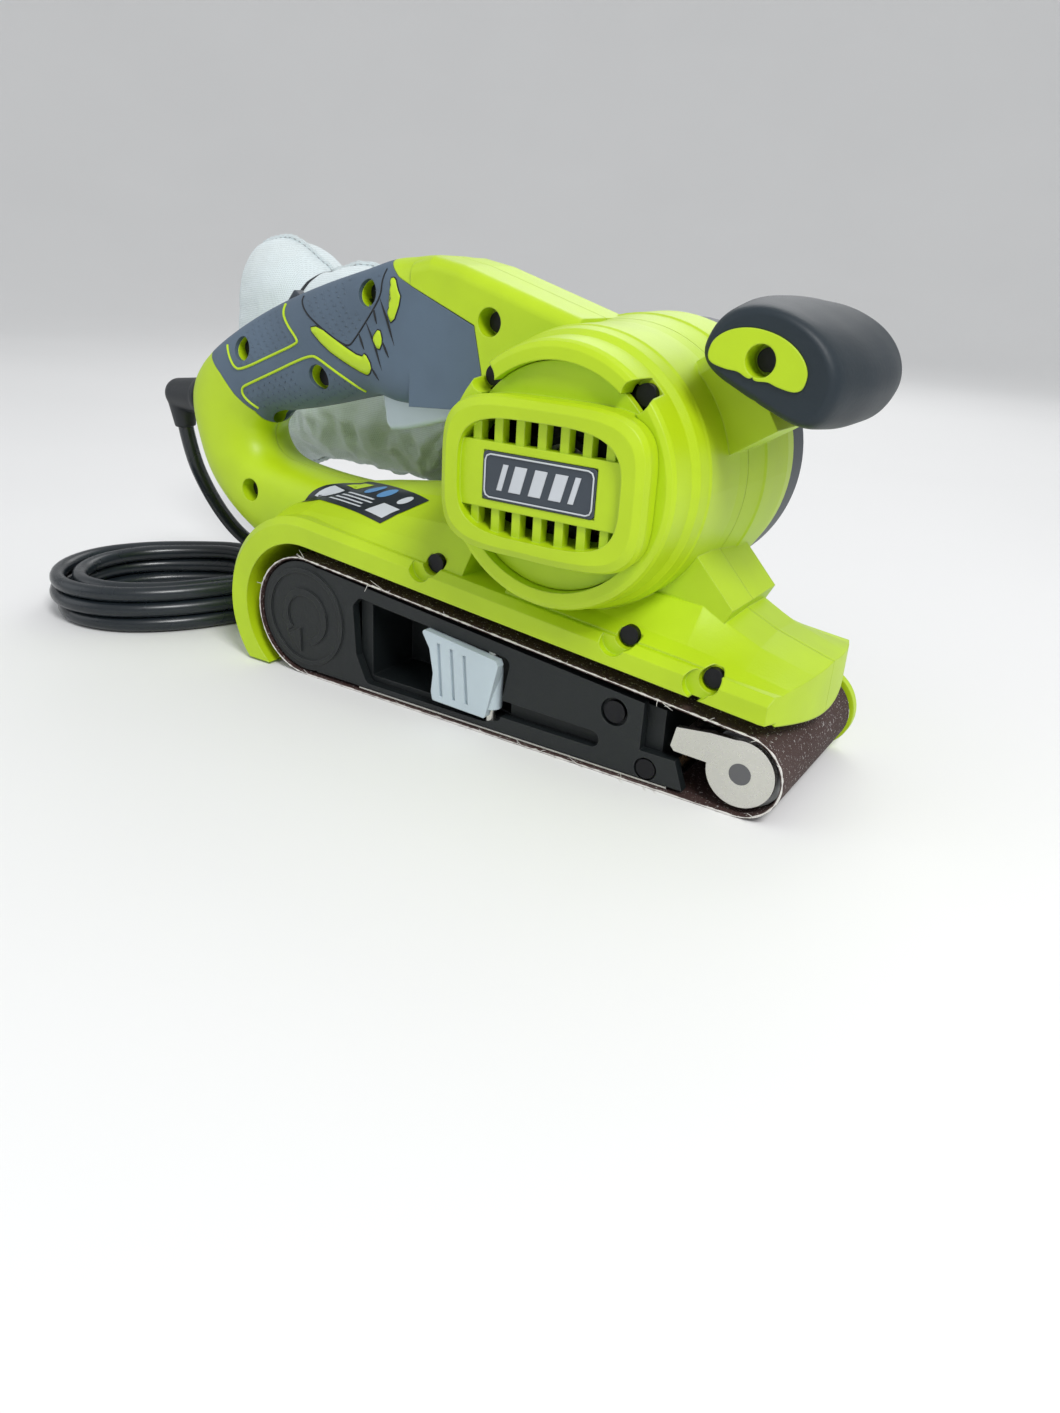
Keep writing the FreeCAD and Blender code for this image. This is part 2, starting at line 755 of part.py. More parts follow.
def housing_shell():
    """Both halves of the housing as one solid, hollowed, before it is parted."""
    lower = guard_body().fuse(upper_body())
    lower = lower.common(plan_limit())
    guard_low = -size("fender_near") - 1
    guard_hull = slab(
        wrap_wire(
            DRIVE_AT, size(BELT_REAR + " + guard_gap"), IDLER_AT, size(BELT_FRONT + " + guard_gap"),
            guard_low,
        ),
        size("fender_near + fender_far") + 2,
    )
    whole = lower.fuse([front_rib(), barrel(), handle_body(0), front_neck(34)])
    whole = whole.cut(guard_hull)
    whole = whole.fuse(far_guard())
    tools = [motor_room(), port_clearance(), side_room()] + handle_rooms()
    tools += screw_tools(HOUSING_SCREWS, size("screw_recess_depth"))
    tools += screw_tools(LUG_SCREWS, size("screw_recess_depth") + 2)
    for place in (MOTOR_AT, DRIVE_AT):
        tools.append(y_cylinder(place, 14, size("housing_far") - 6, size("housing_far") + 1))
    tools.append(y_cylinder(KNOB_AT, size("knob_stem_radius") + 0.2, 30, size("housing_far") + 1))
    return whole.cut(tools)


def half_space(near_side, gap):
    """Everything on one side of the parting plane."""
    if near_side:
        return Part.makeBox(600, 200, 400, V(-300, -200 - gap / 2, -50))
    return Part.makeBox(600, 200, 400, V(-300, gap / 2, -50))


def build_housing():
    """Two shells and the two soft skins bonded on the rear handle."""
    whole = housing_shell()
    soft = handle_body(0).common(skin_zone(0)).cut(handle_body(size("skin_thickness")))
    hard = whole.cut(soft)
    skin = handle_body(0).common(skin_zone(0.3)).cut(handle_body(size("skin_thickness")))
    tools = handle_rooms()
    tools += screw_tools(HOUSING_SCREWS, size("screw_recess_depth"))
    tools += [barrel()]
    skin = skin.cut(tools)
    gap = size("body_gap")
    for side, near_side in (("right", True), ("left", False)):
        shaped(f"{side}_housing", biggest(hard.common(half_space(near_side, gap))))
        shaped(f"{side}_grip_skin", biggest(skin.common(half_space(near_side, gap))))


def biggest(shape):
    """The main solid of a cut shape, without loose crumbs."""
    return max(shape.Solids, key=lambda solid: solid.Volume)


def build_housing_screws():
    """Screws that hold the two shells together, one node of separate solids."""
    screws = []
    for index, (x, z, face) in enumerate(HOUSING_SCREWS + LUG_SCREWS):
        depth = size("screw_recess_depth") + (2 if face < -45 else 0)
        start = face + depth - size("screw_head_height")
        head = cylinder(f"screw_head_{index}", "screw_head_radius", "screw_head_height", x, start, z)
        shank = cylinder(
            f"screw_shank_{index}", "screw_shank_radius", f"12 - ({start})", x, start, z
        )
        screws.append(joined(f"screw_{index}", [head, shank]))
    node(grouped("housing_screws", screws), "housing_screws")


# ---------------------------------------------------------------- near end: cap and its plate

def build_vent_cap():
    """Cap that closes the near end of the barrel, with two rows of vent bars round a middle band."""
    half_length = size("cap_half_length")
    half_height = size("cap_half_height")
    centre = point_at(MOTOR_AT, 0)
    seat = -size("rim_near") + 4
    outer_face = -size("rim_near") - size("cap_reach")
    disc = y_cylinder(MOTOR_AT, size("cap_opening_radius") - 0.3, seat, seat + 3)
    across = V(half_length, 0, 0)
    upright = V(0, 0, half_height)
    frame_rings = []
    for y, shrink in ((seat, 0.5), (outer_face + 4, 0), (outer_face + 1.5, 0.8), (outer_face, 3.2)):
        middle = V(centre.x, y, centre.z)
        scale_x = (half_length - shrink) / half_length
        scale_z = (half_height - shrink) / half_height
        frame_rings.append(superellipse(middle, upright * scale_z, across * scale_x, 4.2, 40))
    spans = []
    for one, two in zip(frame_rings, frame_rings[1:]):
        wires = [closed_curve(ring_points) for ring_points in (one, two)]
        spans.append(Part.makeLoft(wires, True, True))
    frame = spans[0].fuse(spans[1:])
    opening = slab(
        closed_curve(superellipse(
            V(centre.x, outer_face - 1, centre.z), V(0, 0, size("vent_half_height")),
            V(size("vent_half_length"), 0, 0), 3.6, 40,
        )),
        -outer_face + 1 + seat + 4,
    )
    cap = disc.fuse(frame).cut(opening)
    band_half = size("vent_half_height") - 8.5
    inside = opening.copy()
    band = Part.makeBox(2 * half_length, 4, 2 * band_half,
                        V(centre.x - half_length, outer_face + 2.2, centre.z - band_half))
    cap = cap.fuse(band.common(inside))
    bar = size("vent_bar")
    for index in range(7):
        x = centre.x + (index - 3) * size("vent_half_length") * 2 / 7.4 - bar / 2
        for low in (-size("vent_half_height"), band_half - 1):
            piece = Part.makeBox(bar, 4, 9.5, V(x, outer_face + 3.2, centre.z + low))
            cap = cap.fuse(piece.common(inside))
    seat_cut = Part.makeBox(size("plate_length") + 0.4, 1.0, size("plate_height") + 0.4,
                            V(centre.x - size("plate_length") / 2 - 0.2, outer_face + 2.1,
                              centre.z - size("plate_height") / 2 - 0.2))
    slots = []
    for start in (55, 235):
        slot = Part.makeCylinder(35.4, 10, point_at(MOTOR_AT, seat - 2), V(0, 1, 0), 70)
        slot = slot.cut(Part.makeCylinder(31.8, 12, point_at(MOTOR_AT, seat - 3), V(0, 1, 0)))
        slot.rotate(centre, V(0, 1, 0), -start - 70)
        slots.append(slot)
    rim_room = y_cylinder(MOTOR_AT, 70, -size("rim_near") - size("body_gap"), seat + 5)
    rim_room = rim_room.cut(y_cylinder(MOTOR_AT, size("cap_opening_radius") - 0.3, -80, 0))
    shaped("vent_cap", biggest(refined(cap.cut([seat_cut, rim_room] + slots))))


def closed_curve(points):
    """Closed wire through a ring of points."""
    curve = Part.BSplineCurve()
    curve.interpolate(Points=points[:-1], PeriodicFlag=True)
    return Part.Wire([curve.toShape()])


def build_emblem_plate():
    """Plain plate set in the cap's band."""
    def draw(sketch):
        left, right = "motor_x - plate_length / 2", "motor_x + plate_length / 2"
        low, high = "motor_z - plate_height / 2", "motor_z + plate_height / 2"
        outline(sketch, [(left, low), (right, low), (right, high), (left, high)])

    near = "-(rim_near + cap_reach) + 2.0"
    body = plate("emblem_plate", draw, near, near + " + 1.1")
    round_edges(body, "emblem_plate", "1.5", runs_along_y)
    node(body, "emblem_plate")


# ---------------------------------------------------------------- drive side

def build_drive_cover():
    """Dark cover over the gear plate, the two pulleys and the toothed belt."""
    low = "housing_far + body_gap"
    outer = plate(
        "drive_cover_outside",
        lambda sketch: wrap(sketch, MOTOR_AT, "cover_radius", DRIVE_AT, "cover_rear_radius"),
        low, "cover_far",
    )
    round_edges(outer, "cover", "3.5", lambda edge: edge.CenterOfMass.y > 1 and not runs_along_y(edge))
    inner = plate(
        "drive_cover_inside",
        lambda sketch: wrap(
            sketch, MOTOR_AT, "cover_radius - cover_wall", DRIVE_AT, "cover_rear_radius - cover_wall"
        ),
        low + " - 1", "cover_far - cover_wall",
    )
    hollow = cut("drive_cover_hollow", outer, inner)
    port = cylinder("cover_port", "port_radius + body_gap", "66", "-86", "port_y", "port_z", ALONG_X)
    shell = cut("drive_cover_shell", hollow, port)
    screw_holes = [
        cylinder(f"cover_hole_{i}", "screw_head_radius + 0.4", "8", x, "cover_far - 4", z)
        for i, (x, z) in enumerate(COVER_SCREWS)
    ]
    node(cut("drive_cover_part", shell, joined("cover_holes", screw_holes)), "drive_cover")


COVER_SCREWS = [("52", "132"), ("-2", "134"), ("50", "80"), ("10", "68"), ("-56", "50")]


def build_cover_screws():
    """Screws that hold the cover against posts of the gear plate."""
    screws = []
    for index, (x, z) in enumerate(COVER_SCREWS):
        head = cylinder(f"cover_head_{index}", "screw_head_radius", "2.4", x, "cover_far - 3.9", z)
        shank = cylinder(
            f"cover_shank_{index}", "screw_shank_radius", "8", x, "cover_far - 10", z
        )
        screws.append(joined(f"cover_screw_{index}", [head, shank]))
    node(grouped("cover_screws_group", screws), "cover_screws")


def build_gear_plate():
    """Aluminium plate that carries the motor's front bearing and the drive roller's bearing."""
    low = "housing_far + body_gap"
    high = low + " + gear_plate_thickness"
    inset = "(cover_wall + body_gap + 0.2)"
    base = plate(
        "gear_plate_web",
        lambda sketch: wrap(
            sketch, MOTOR_AT, f"cover_radius - {inset}", DRIVE_AT, f"cover_rear_radius - {inset}"
        ),
        low, high,
    )
    bosses = [base]
    for name, place in (("motor", MOTOR_AT), ("drive", DRIVE_AT)):
        bosses.append(
            cylinder(f"{name}_boss", "13.7", f"({high}) - 40.7", place[0], "40.7", place[1])
        )
    for index, (x, z) in enumerate(COVER_SCREWS):
        bosses.append(
            cylinder(f"post_{index}", "3.4", f"cover_far - 4 - ({high}) + 0.5", x, f"({high}) - 0.5", z)
        )
    seats = []
    for name, place in (("motor", MOTOR_AT), ("drive", DRIVE_AT)):
        seats.append(cylinder(f"{name}_seat", "bearing_radius", "20", place[0], "housing_far - 2.3",
            place[1]))
        seats.append(cylinder(f"{name}_way", "7", "40", place[0], "20", place[1]))
    for index, (x, z) in enumerate(COVER_SCREWS):
        seats.append(cylinder(f"post_hole_{index}", "screw_shank_radius", "9", x, "cover_far - 11", z))
    port = cylinder("plate_port", "port_radius + body_gap", "66", "-86", "port_y", "port_z", ALONG_X)
    web = cut("gear_plate_bored", joined("gear_plate_solid", bosses), joined("gear_plate_seats", seats))
    node(cut("gear_plate_part", web, port), "gear_plate")


def build_bearing(label, place, bore, low):
    """Ball bearing as one closed ring with a shallow groove on both faces."""
    width = size("bearing_width")
    profile = [
        (bore, low), ("bearing_radius", low), ("bearing_radius", f"{low} + bearing_width"),
        (bore, f"{low} + bearing_width"),
    ]
    body = turned(label, profile, place)
    groove = new_sketch(body, label + "_groove", "XY_Plane")
    inner, outer = f"({bore}) + 1.6", "bearing_radius - 1.6"
    outline(groove, [(inner, f"{low} - 1"), (outer, f"{low} - 1"), (outer, f"{low} + 0.6"),
        (inner, f"{low} + 0.6")])
    feature = body.newObject("PartDesign::Groove", label + "_groove_cut")
    feature.Profile = groove
    feature.ReferenceAxis = (groove, ["V_Axis"])
    feature.Angle = 360
    groove.Visibility = False
    return body


def build_bearings():
    """The motor's two bearings, alike, in one node, and the drive roller's larger one."""
    bore = "motor_shaft_radius + shaft_clearance"
    far_seat = "housing_far - 2.3"
    pair = [
        build_bearing("front_bearing", MOTOR_AT, bore, far_seat),
        build_bearing("rear_bearing", MOTOR_AT, bore, "-41.4"),
    ]
    node(grouped("motor_bearings_group", pair), "motor_bearings")
    roller_bore = "drive_shaft_radius + shaft_clearance"
    node(build_bearing("roller_bearing", DRIVE_AT, roller_bore, far_seat), "roller_bearing")


def build_pulley(label, place, radius, bore, teeth):
    """Toothed pulley with two flanges."""
    low = "pulley_near"
    high = "pulley_near + pulley_width"
    rim = f"({radius}) + 1.2"
    profile = [
        (bore, f"{low} - 1"), (rim, f"{low} - 1"), (rim, f"{low} - 0.3"), (radius, f"{low} - 0.3"),
        (radius, f"{high} - 0.5"), (rim, f"{high} - 0.5"), (rim, high), (bore, high),
    ]
    blank = turned(label + "_blank", profile, place)
    centre = point_at(place, 0)
    tools = []
    for index in range(teeth):
        angle = 2 * math.pi * index / teeth
        x, z = polar((centre.x, centre.z), size(radius) + 0.2, angle)
        tools.append(Part.makeCylinder(0.55, size("pulley_width") + 0.5, V(x, size(low) - 0.3, z),
            V(0, 1, 0)))
    grooves = doc.addObject("Part::Feature", label + "_grooves")
    grooves.Shape = Part.makeCompound(tools)
    return node(cut(label + "_part", blank, grooves), label)


def build_toothed_belt():
    """Belt between the two pulleys, clear of their teeth by a hair."""
    inner_motor, inner_drive = "motor_pulley_radius + 0.1", "drive_pulley_radius + 0.1"
    thick = "tooth_belt_thickness"
    low, high = "pulley_near", "pulley_near + pulley_width - 0.8"
    outer = plate(
        "toothed_belt_outside",
        lambda sketch: wrap(
            sketch, MOTOR_AT, f"{inner_motor} + {thick}", DRIVE_AT, f"{inner_drive} + {thick}"
        ),
        low, high,
    )
    inner = plate(
        "toothed_belt_inside",
        lambda sketch: wrap(sketch, MOTOR_AT, inner_motor, DRIVE_AT, inner_drive),
        low + " - 1", high + " + 1",
    )
    node(cut("toothed_belt_part", outer, inner), "toothed_belt")


# ---------------------------------------------------------------- motor

def build_motor():
    """Universal motor: shaft, armature, commutator, fan, field core, windings, brush gear, bearings."""
    centre = point_at(MOTOR_AT, 0)
    rim = "motor_shaft_radius"
    shaft = turned(
        "armature_shaft",
        [("0", "-41"), (rim, "-41"), (rim, "cover_far - 2.9"), ("0", "cover_far - 2.9")],
        MOTOR_AT,
    )
    node(shaft, "armature_shaft")
    core = Part.makeCylinder(size("rotor_radius"), size("rotor_length"), V(centre.x, -12, centre.z),
        V(0, 1, 0))
    slots = []
    for index in range(12):
        angle = 2 * math.pi * index / 12
        x, z = polar((centre.x, centre.z), size("rotor_radius"), angle)
        slots.append(Part.makeCylinder(2.0, size("rotor_length") + 2, V(x, -13, z), V(0, 1, 0)))
    core = core.cut(slots).cut(y_cylinder(MOTOR_AT, size("motor_shaft_radius"), -14, 30))
    shaped("armature_core", core)
    winding = []
    for low, high in ((-17.5, -12), (22, 27.5)):
        ring_solid = y_cylinder(MOTOR_AT, size("rotor_radius") - 3, low, high)
        winding.append(ring_solid.cut(y_cylinder(MOTOR_AT, size("motor_shaft_radius"), low - 1, high + 1)))
    shaped("armature_windings", Part.makeCompound(winding))
    bars = y_cylinder(MOTOR_AT, size("commutator_radius"), -32, -18)
    gaps = []
    for index in range(24):
        gap_box = Part.makeBox(2, 16, 0.5, V(size("commutator_radius") - 1, -33, -0.25))
        gap_box.Placement = FreeCAD.Placement(centre, FreeCAD.Rotation(V(0, 1, 0), index * 15.0))
        gaps.append(gap_box)
    bars = bars.cut(gaps).cut(y_cylinder(MOTOR_AT, size("motor_shaft_radius"), -33, -17))
    shaped("commutator", bars)
    hub = y_cylinder(MOTOR_AT, 9, 29, 38)
    disc = y_cylinder(MOTOR_AT, size("fan_radius"), 36.5, 38)
    blades = []
    for index in range(14):
        blade = Part.makeBox(size("fan_radius") - 9, 7.8, 1.2, V(8, 29.2, -0.6))
        blade.Placement = FreeCAD.Placement(centre, FreeCAD.Rotation(V(0, 1, 0), index * 360.0 / 14))
        blades.append(blade)
    fan = hub.fuse([disc] + blades).cut(y_cylinder(MOTOR_AT, size("motor_shaft_radius"), 20, 40))
    shaped("dust_fan", fan)
    bore = size("rotor_radius + air_gap")
    stator = y_cylinder(MOTOR_AT, size("stator_radius") - 4.5, -10, 20)
    stator = stator.cut(y_cylinder(MOTOR_AT, bore, -11, 21))
    side_spaces = []
    for low_z, high_z in ((-9.0, 9.0),):
        for side in (-1, 1):
            x = centre.x + (side * (bore + 5)) - 5.5
            side_spaces.append(Part.makeBox(11, 40, high_z - low_z, V(x, -15, centre.z + low_z)))
    shaped("field_core", biggest(stator.cut(side_spaces)))
    coils = []
    for low, high in ((-16.5, -10.3), (20.3, 26.5)):
        tube = y_cylinder(MOTOR_AT, 33, low, high).cut(y_cylinder(MOTOR_AT, bore + 1.5, low - 1, high + 1))
        coils.append(tube)
    shaped("field_windings", Part.makeCompound(coils))


def build_brush_gear():
    """Brush bracket with the rear bearing's seat, two holders, two brushes and their springs."""
    low = -41.5
    web = y_cylinder(MOTOR_AT, size("rim_radius - housing_wall") - 2.5, low + 4, low + 7)
    boss = y_cylinder(MOTOR_AT, size("bearing_radius") + 2.5, low, low + 7)
    centre = point_at(MOTOR_AT, 0)
    windows = []
    for index in range(4):
        window = Part.makeBox(13, 12, 18, V(18, low, -9))
        window.Placement = FreeCAD.Placement(centre, FreeCAD.Rotation(V(0, 1, 0), 45 + 90 * index))
        windows.append(window)
    bracket = web.cut(windows).fuse(boss)
    bracket = bracket.cut(y_cylinder(MOTOR_AT, size("bearing_radius"), low - 1, low + 7.2))
    shaped("brush_bracket", refined(bracket))
    holders, brushes, springs = [], [], []
    for side in (-1, 1):
        start = centre.x + side * 15
        outer = Part.makeBox(18, 9, 11, V(min(start, start + side * 18), -30, centre.z - 5.5))
        inner = Part.makeBox(24, 6.4, 8.4, V(min(start - side * 3, start + side * 21), -28.7,
            centre.z - 4.2))
        holders.append(outer.cut(inner))
        tip = centre.x + side * (size("commutator_radius") + 0.15)
        brushes.append(Part.makeBox(13, 6, 8, V(min(tip, tip + side * 13), -28.5, centre.z - 4)))
        back = tip + side * 13.3
        coil = Part.makeCylinder(2.6, 6, V(back, -25.5, centre.z), V(side, 0, 0))
        springs.append(coil)
    shaped("brush_holders", Part.makeCompound(holders))
    shaped("carbon_brushes", Part.makeCompound(brushes))
    shaped("brush_springs", Part.makeCompound(springs))


# ---------------------------------------------------------------- belt, rollers and frame

def build_belt():
    """Abrasive belt as one closed loop round both rollers."""
    half = "belt_width / 2"
    outer = plate(
        "belt_outside",
        lambda sketch: wrap(sketch, DRIVE_AT, BELT_REAR, IDLER_AT, BELT_FRONT),
        f"-{half}", half,
    )
    inner = plate(
        "belt_inside",
        lambda sketch: wrap(
            sketch, DRIVE_AT, f"{BELT_REAR} - belt_thickness", IDLER_AT, f"{BELT_FRONT} - belt_thickness"
        ),
        f"-{half} - 1", f"{half} + 1",
    )
    node(cut("sanding_belt_loop", outer, inner), "sanding_belt")


def build_drive_roller():
    """Driven roller: metal core with a rubber sleeve, on its shaft."""
    node(ring("roller_sleeve", "drive_radius", "drive_radius - 3", "-roller_near",
              "roller_near + roller_far", DRIVE_AT), "roller_sleeve")
    near, far = "-roller_near + 1", "roller_far - 1"
    core = turned(
        "drive_roller",
        [
            ("drive_shaft_radius", near), ("drive_radius - 3", near), ("drive_radius - 3", far),
            ("drive_radius - 6", far), ("drive_radius - 6", far + " - 8"), ("9", far + " - 8"),
            ("9", far), ("drive_shaft_radius", far),
        ],
        DRIVE_AT,
    )
    node(core, "drive_roller")
    shaft = turned(
        "drive_shaft",
        [
            ("0", "-side_frame_near + 0.6"), ("drive_shaft_radius", "-side_frame_near + 0.6"),
            ("drive_shaft_radius", "cover_far - 2.9"), ("0", "cover_far - 2.9"),
        ],
        DRIVE_AT,
    )
    node(shaft, "drive_shaft")


def build_idler():
    """Idler roller that turns on a fixed axle held by a forked yoke."""
    roller = turned(
        "idler_roller",
        [
            ("idler_axle_radius + shaft_clearance", "-roller_near + 1"),
            ("idler_radius", "-roller_near + 1"),
            ("idler_radius", "roller_far - 1"), ("idler_axle_radius + shaft_clearance", "roller_far - 1"),
        ],
        IDLER_AT,
    )
    node(roller, "idler_roller")
    low, high = "-side_frame_near + 0.2", "roller_far + 1.8"
    axle = turned(
        "idler_axle",
        [("0", low), ("idler_axle_radius", low), ("idler_axle_radius", high), ("0", high)],
        IDLER_AT,
    )
    node(axle, "idler_axle")
    build_yoke()


def build_yoke():
    """Steel fork: a hooked near arm, a far arm and the cross web that the tension spring pushes."""
    x = size(IDLER_X)
    z = size(IDLER_Z)
    thick = size("yoke_thickness")
    near = -size("side_frame_near") + 0.2
    far = size("roller_far") + 1.4
    eye = size("idler_radius") - 2

    def arm(low, high):
        disc = y_cylinder(IDLER_AT, eye, low, high)
        bar = polygon_slab([(x - 25, z + 10.5), (x - 26.5, z + 3), (x - 25, z + 1.2), (x - 8, z + 0.5),
                            (x + 2, z + eye - 0.3), (x - 12, z + eye - 0.5)], low, high)
        return disc.fuse(bar)

    web = Part.makeBox(3, far + 1.2 - near, 9, V(x - 22, near, z + 1.4))
    yoke = refined(arm(near, near + thick).fuse([arm(far - 1, far + 1.2), web]))
    yoke = yoke.cut(y_cylinder(IDLER_AT, size("idler_axle_radius"), near - 1, far + 3))
    keep_clear = y_cylinder(IDLER_AT, size("idler_radius") + 0.8, near + thick + 0.1, far - 1.1)
    shaped("idler_yoke", biggest(yoke.cut(keep_clear)))
    coil = Part.makeHelix(3.2, 17.0, 4.2)
    coil.Placement = FreeCAD.Placement(V(x - 40.2, 0, z + 6), ALONG_X)
    profile = Part.Wire(Part.makeCircle(0.8, V(x - 40.2, 0, z + 1.8), V(0, 1, 0)))
    spring = Part.Wire(coil.Edges).makePipeShell([profile], True, True)
    spring.Placement = FreeCAD.Placement(V(0, 0, 0), UPRIGHT)
    shaped("tension_spring", spring)


def between_runs(lift_top, low, front_x, rear_gap):
    """Side outline of the space between the belt's two runs, as (x, z) corners."""
    rear_x = size(DRIVE_X)
    top_rear = size(f"{DRIVE_Z} + drive_radius + roller_gap") - lift_top
    slope = -0.1051
    start = rear_x + size("drive_radius") + rear_gap
    return [
        (start, low), (front_x, low),
        (front_x, top_rear + slope * (front_x - rear_x)), (start, top_rear + slope * (start - rear_x)),
    ]


def build_main_frame():
    """Cast frame between the belt's runs; its far flange joins the housing's far side."""
    low = size("belt_thickness + roller_gap + platen_thickness + pad_thickness") + 0.1
    front_x = size(IDLER_X) - 31
    corners = between_runs(4.5, low, front_x, 3.0)
    block = polygon_slab(corners, -32.6, size("belt_width") / 2 + 2.0)
    recess = polygon_slab([(-66, 7), (4, 7), (4, 31.5), (-66, 38.5)], -40, -6)
    spring_room = Part.makeCylinder(5.4, 24, V(front_x - 12.6, 0, size(IDLER_Z) + 6), V(1, 0, 0))
    far_room = Part.makeBox(28, 12, 30, V(front_x - 12, 34, low - 1))
    rib_rooms = [
        polygon_slab([(-60, 8), (-20, 8), (-20, 36), (-60, 40)], 4, 34),
        polygon_slab([(-12, 8), (16, 8), (16, 31), (-12, 34)], 4, 34),
        polygon_slab([(22, 8), (50, 8), (50, 27), (22, 30)], 12, 34),
    ]
    holes = [y_cylinder(place, 2.4, -40, -10) for place in FRAME_HOLES]
    knob_hole = y_cylinder(KNOB_AT, size("knob_stem_radius") + 0.05, 20, 45)
    lever_room = Part.makeCylinder(8.2, 33.0, V(*LEVER_PIVOT, 6.2))
    frame = block.cut([recess, spring_room, far_room, knob_hole, lever_room] + rib_rooms + holes)
    shaped("main_frame", biggest(refined(frame)))


FRAME_HOLES = [("50.5", "25"), ("65", "6.5")]


def build_sole():
    """Steel platen over a cork pad: what the belt's bottom run slides on."""
    low = "belt_thickness + roller_gap"
    node(box("platen", "144", "belt_width - 2", "platen_thickness", "-70", "-belt_width / 2 + 1",
        low), "platen")
    node(
        box("cork_pad", "136", "roller_near + roller_far", "pad_thickness", "-66", "-roller_near",
            low + " + platen_thickness"),
        "cork_pad",
    )


def build_side_frame():
    """Black plate on the open side, with the finger window, the rod slot and the rear disc."""
    near = -size("side_frame_near")
    thick = size("side_frame_thickness")
    x, z = size(DRIVE_X), size(DRIVE_Z)
    radius = size("side_frame_radius")
    low = 2.4
    disc = y_cylinder(DRIVE_AT, radius, near, near + thick)
    web = polygon_slab(
        [(x + 8, z + radius - 1.0), (62, 31.6), (62, 13.2), (76, 13.2), (80, low), (x + 6, low)],
        near, near + thick,
    )
    body = disc.fuse(web)
    window = polygon_slab(
        [(-66.0, 4.6), (-6, 4.6), (2.0, 7.0), (2.2, 16), (5.4, 33.4), (-69.5, 41.6), (-73.2, 37.6),
         (-71.5, 16)],
        near - 1, near + thick + 1,
    )
    upright = [e for e in window.Edges if runs_along_y(e)]
    window = window.makeFillet(3.0, upright)
    slot = polygon_slab([(0, 8.8), (42, 8.6), (42, 15.2), (0, 16)], near - 1, near + thick + 1)
    slot = slot.fuse(y_cylinder(("42", "11.9"), 3.3, near - 1, near + thick + 1))
    holes = [y_cylinder(FRAME_HOLES[0], 5.5, near - 1, near + 2.2),
        y_cylinder(FRAME_HOLES[1], 4.5, near - 1, near + 2.2)]
    holes += [y_cylinder(place, 2.1, near - 1, near + thick + 1) for place in FRAME_HOLES]
    holes.append(y_cylinder(DRIVE_AT, size("drive_shaft_radius + shaft_clearance"), near + 0.5,
        near + thick + 1))
    holes.append(Part.makeCylinder(2.02, 33.6, V(LEVER_PIVOT[0], LEVER_PIVOT[1], 3.0)))
    body = body.cut([window, slot] + holes)
    raised = y_cylinder(DRIVE_AT, 21.5, near - 0.7,
        near + 0.1).cut(y_cylinder(DRIVE_AT, 19.5, near - 1, near + 1))
    arrow = y_cylinder(DRIVE_AT, 12.5, near - 0.7,
        near + 0.1).cut(y_cylinder(DRIVE_AT, 9.5, near - 1, near + 1))
    arrow = arrow.cut(polygon_slab([(x, z), (x - 16, z - 13), (x - 4, z - 20), (x + 6, z - 20)],
        near - 2, near + 2))
    head = polygon_slab([(x - 2.5, z - 16.5), (x - 2.5, z - 5.5), (x - 9.5, z - 9.5)], near - 0.7,
        near + 0.1)
    shaped("side_frame", refined(body.fuse([raised, arrow, head])))
    screws = []
    for index, (place, head_radius) in enumerate(zip(FRAME_HOLES, ("4.2", "3.8"))):
        head_part = cylinder(f"frame_head_{index}", head_radius, "2", place[0],
            "-side_frame_near + 0.2", place[1])
        shank = cylinder(f"frame_shank_{index}", "2.0", "14", place[0], "-side_frame_near + 0.5", place[1])
        screws.append(joined(f"frame_screw_{index}", [head_part, shank]))
    node(grouped("frame_screws_group", screws), "frame_screws")


LEVER_PIVOT = (-4.0, -34.6)


def build_tension_lever():
    """Finger lever that slackens the belt, on an upright pin behind its front edge."""
    near = -size("side_frame_near") - 3
    thick = size("lever_thickness")
    pivot = V(*LEVER_PIVOT, 0)
    paddle = polygon_slab(
        [(-29, 8.4), (-3.5, 7.6), (1.6, 30.5), (0.6, 32.6), (-33.8, 37.2), (-34.6, 36), (-31, 30),
         (-29, 20), (-29.8, 12)],
        near, near + thick,
    )
    paddle = paddle.makeFillet(1.0, [e for e in paddle.Edges if runs_along_y(e)])
    grooves = []
    for index in range(3):
        x = -25.5 + 6.2 * index
        grooves.append(polygon_slab([(x, 11), (x + 1.5, 11), (x - 0.4, 33 - index),
            (x - 1.9, 33 - index)], near - 1, near + 1.1))
    hub = Part.makeCylinder(4.2, 17, V(pivot.x, pivot.y, 11))
    bore = Part.makeCylinder(size("2.0 + shaft_clearance"), 40, V(pivot.x, pivot.y, 5))
    lever = paddle.cut(grooves).fuse(hub).cut(bore)
    shaped("tension_lever", biggest(refined(lever)))
    pin = Part.makeCylinder(2.0, 32.6, V(pivot.x, pivot.y, 3.5))
    shaped("lever_pin", pin)


def build_tracking_knob():
    """Knob on the drive side whose screw steers the belt."""
    knob = y_cylinder(KNOB_AT, 9.5, 44.6, 54)
    flutes = []
    knob_centre = [size(expression) for expression in KNOB_AT]
    for index in range(12):
        x, z = polar(knob_centre, 10.2, 2 * math.pi * index / 12)
        flutes.append(Part.makeCylinder(1.6, 12, V(x, 43, z), V(0, 1, 0)))
    stem = y_cylinder(KNOB_AT, size("knob_stem_radius"), 30, 45)
    shaped("tracking_knob", knob.cut(flutes).fuse(stem))


# ---------------------------------------------------------------- controls in the handle

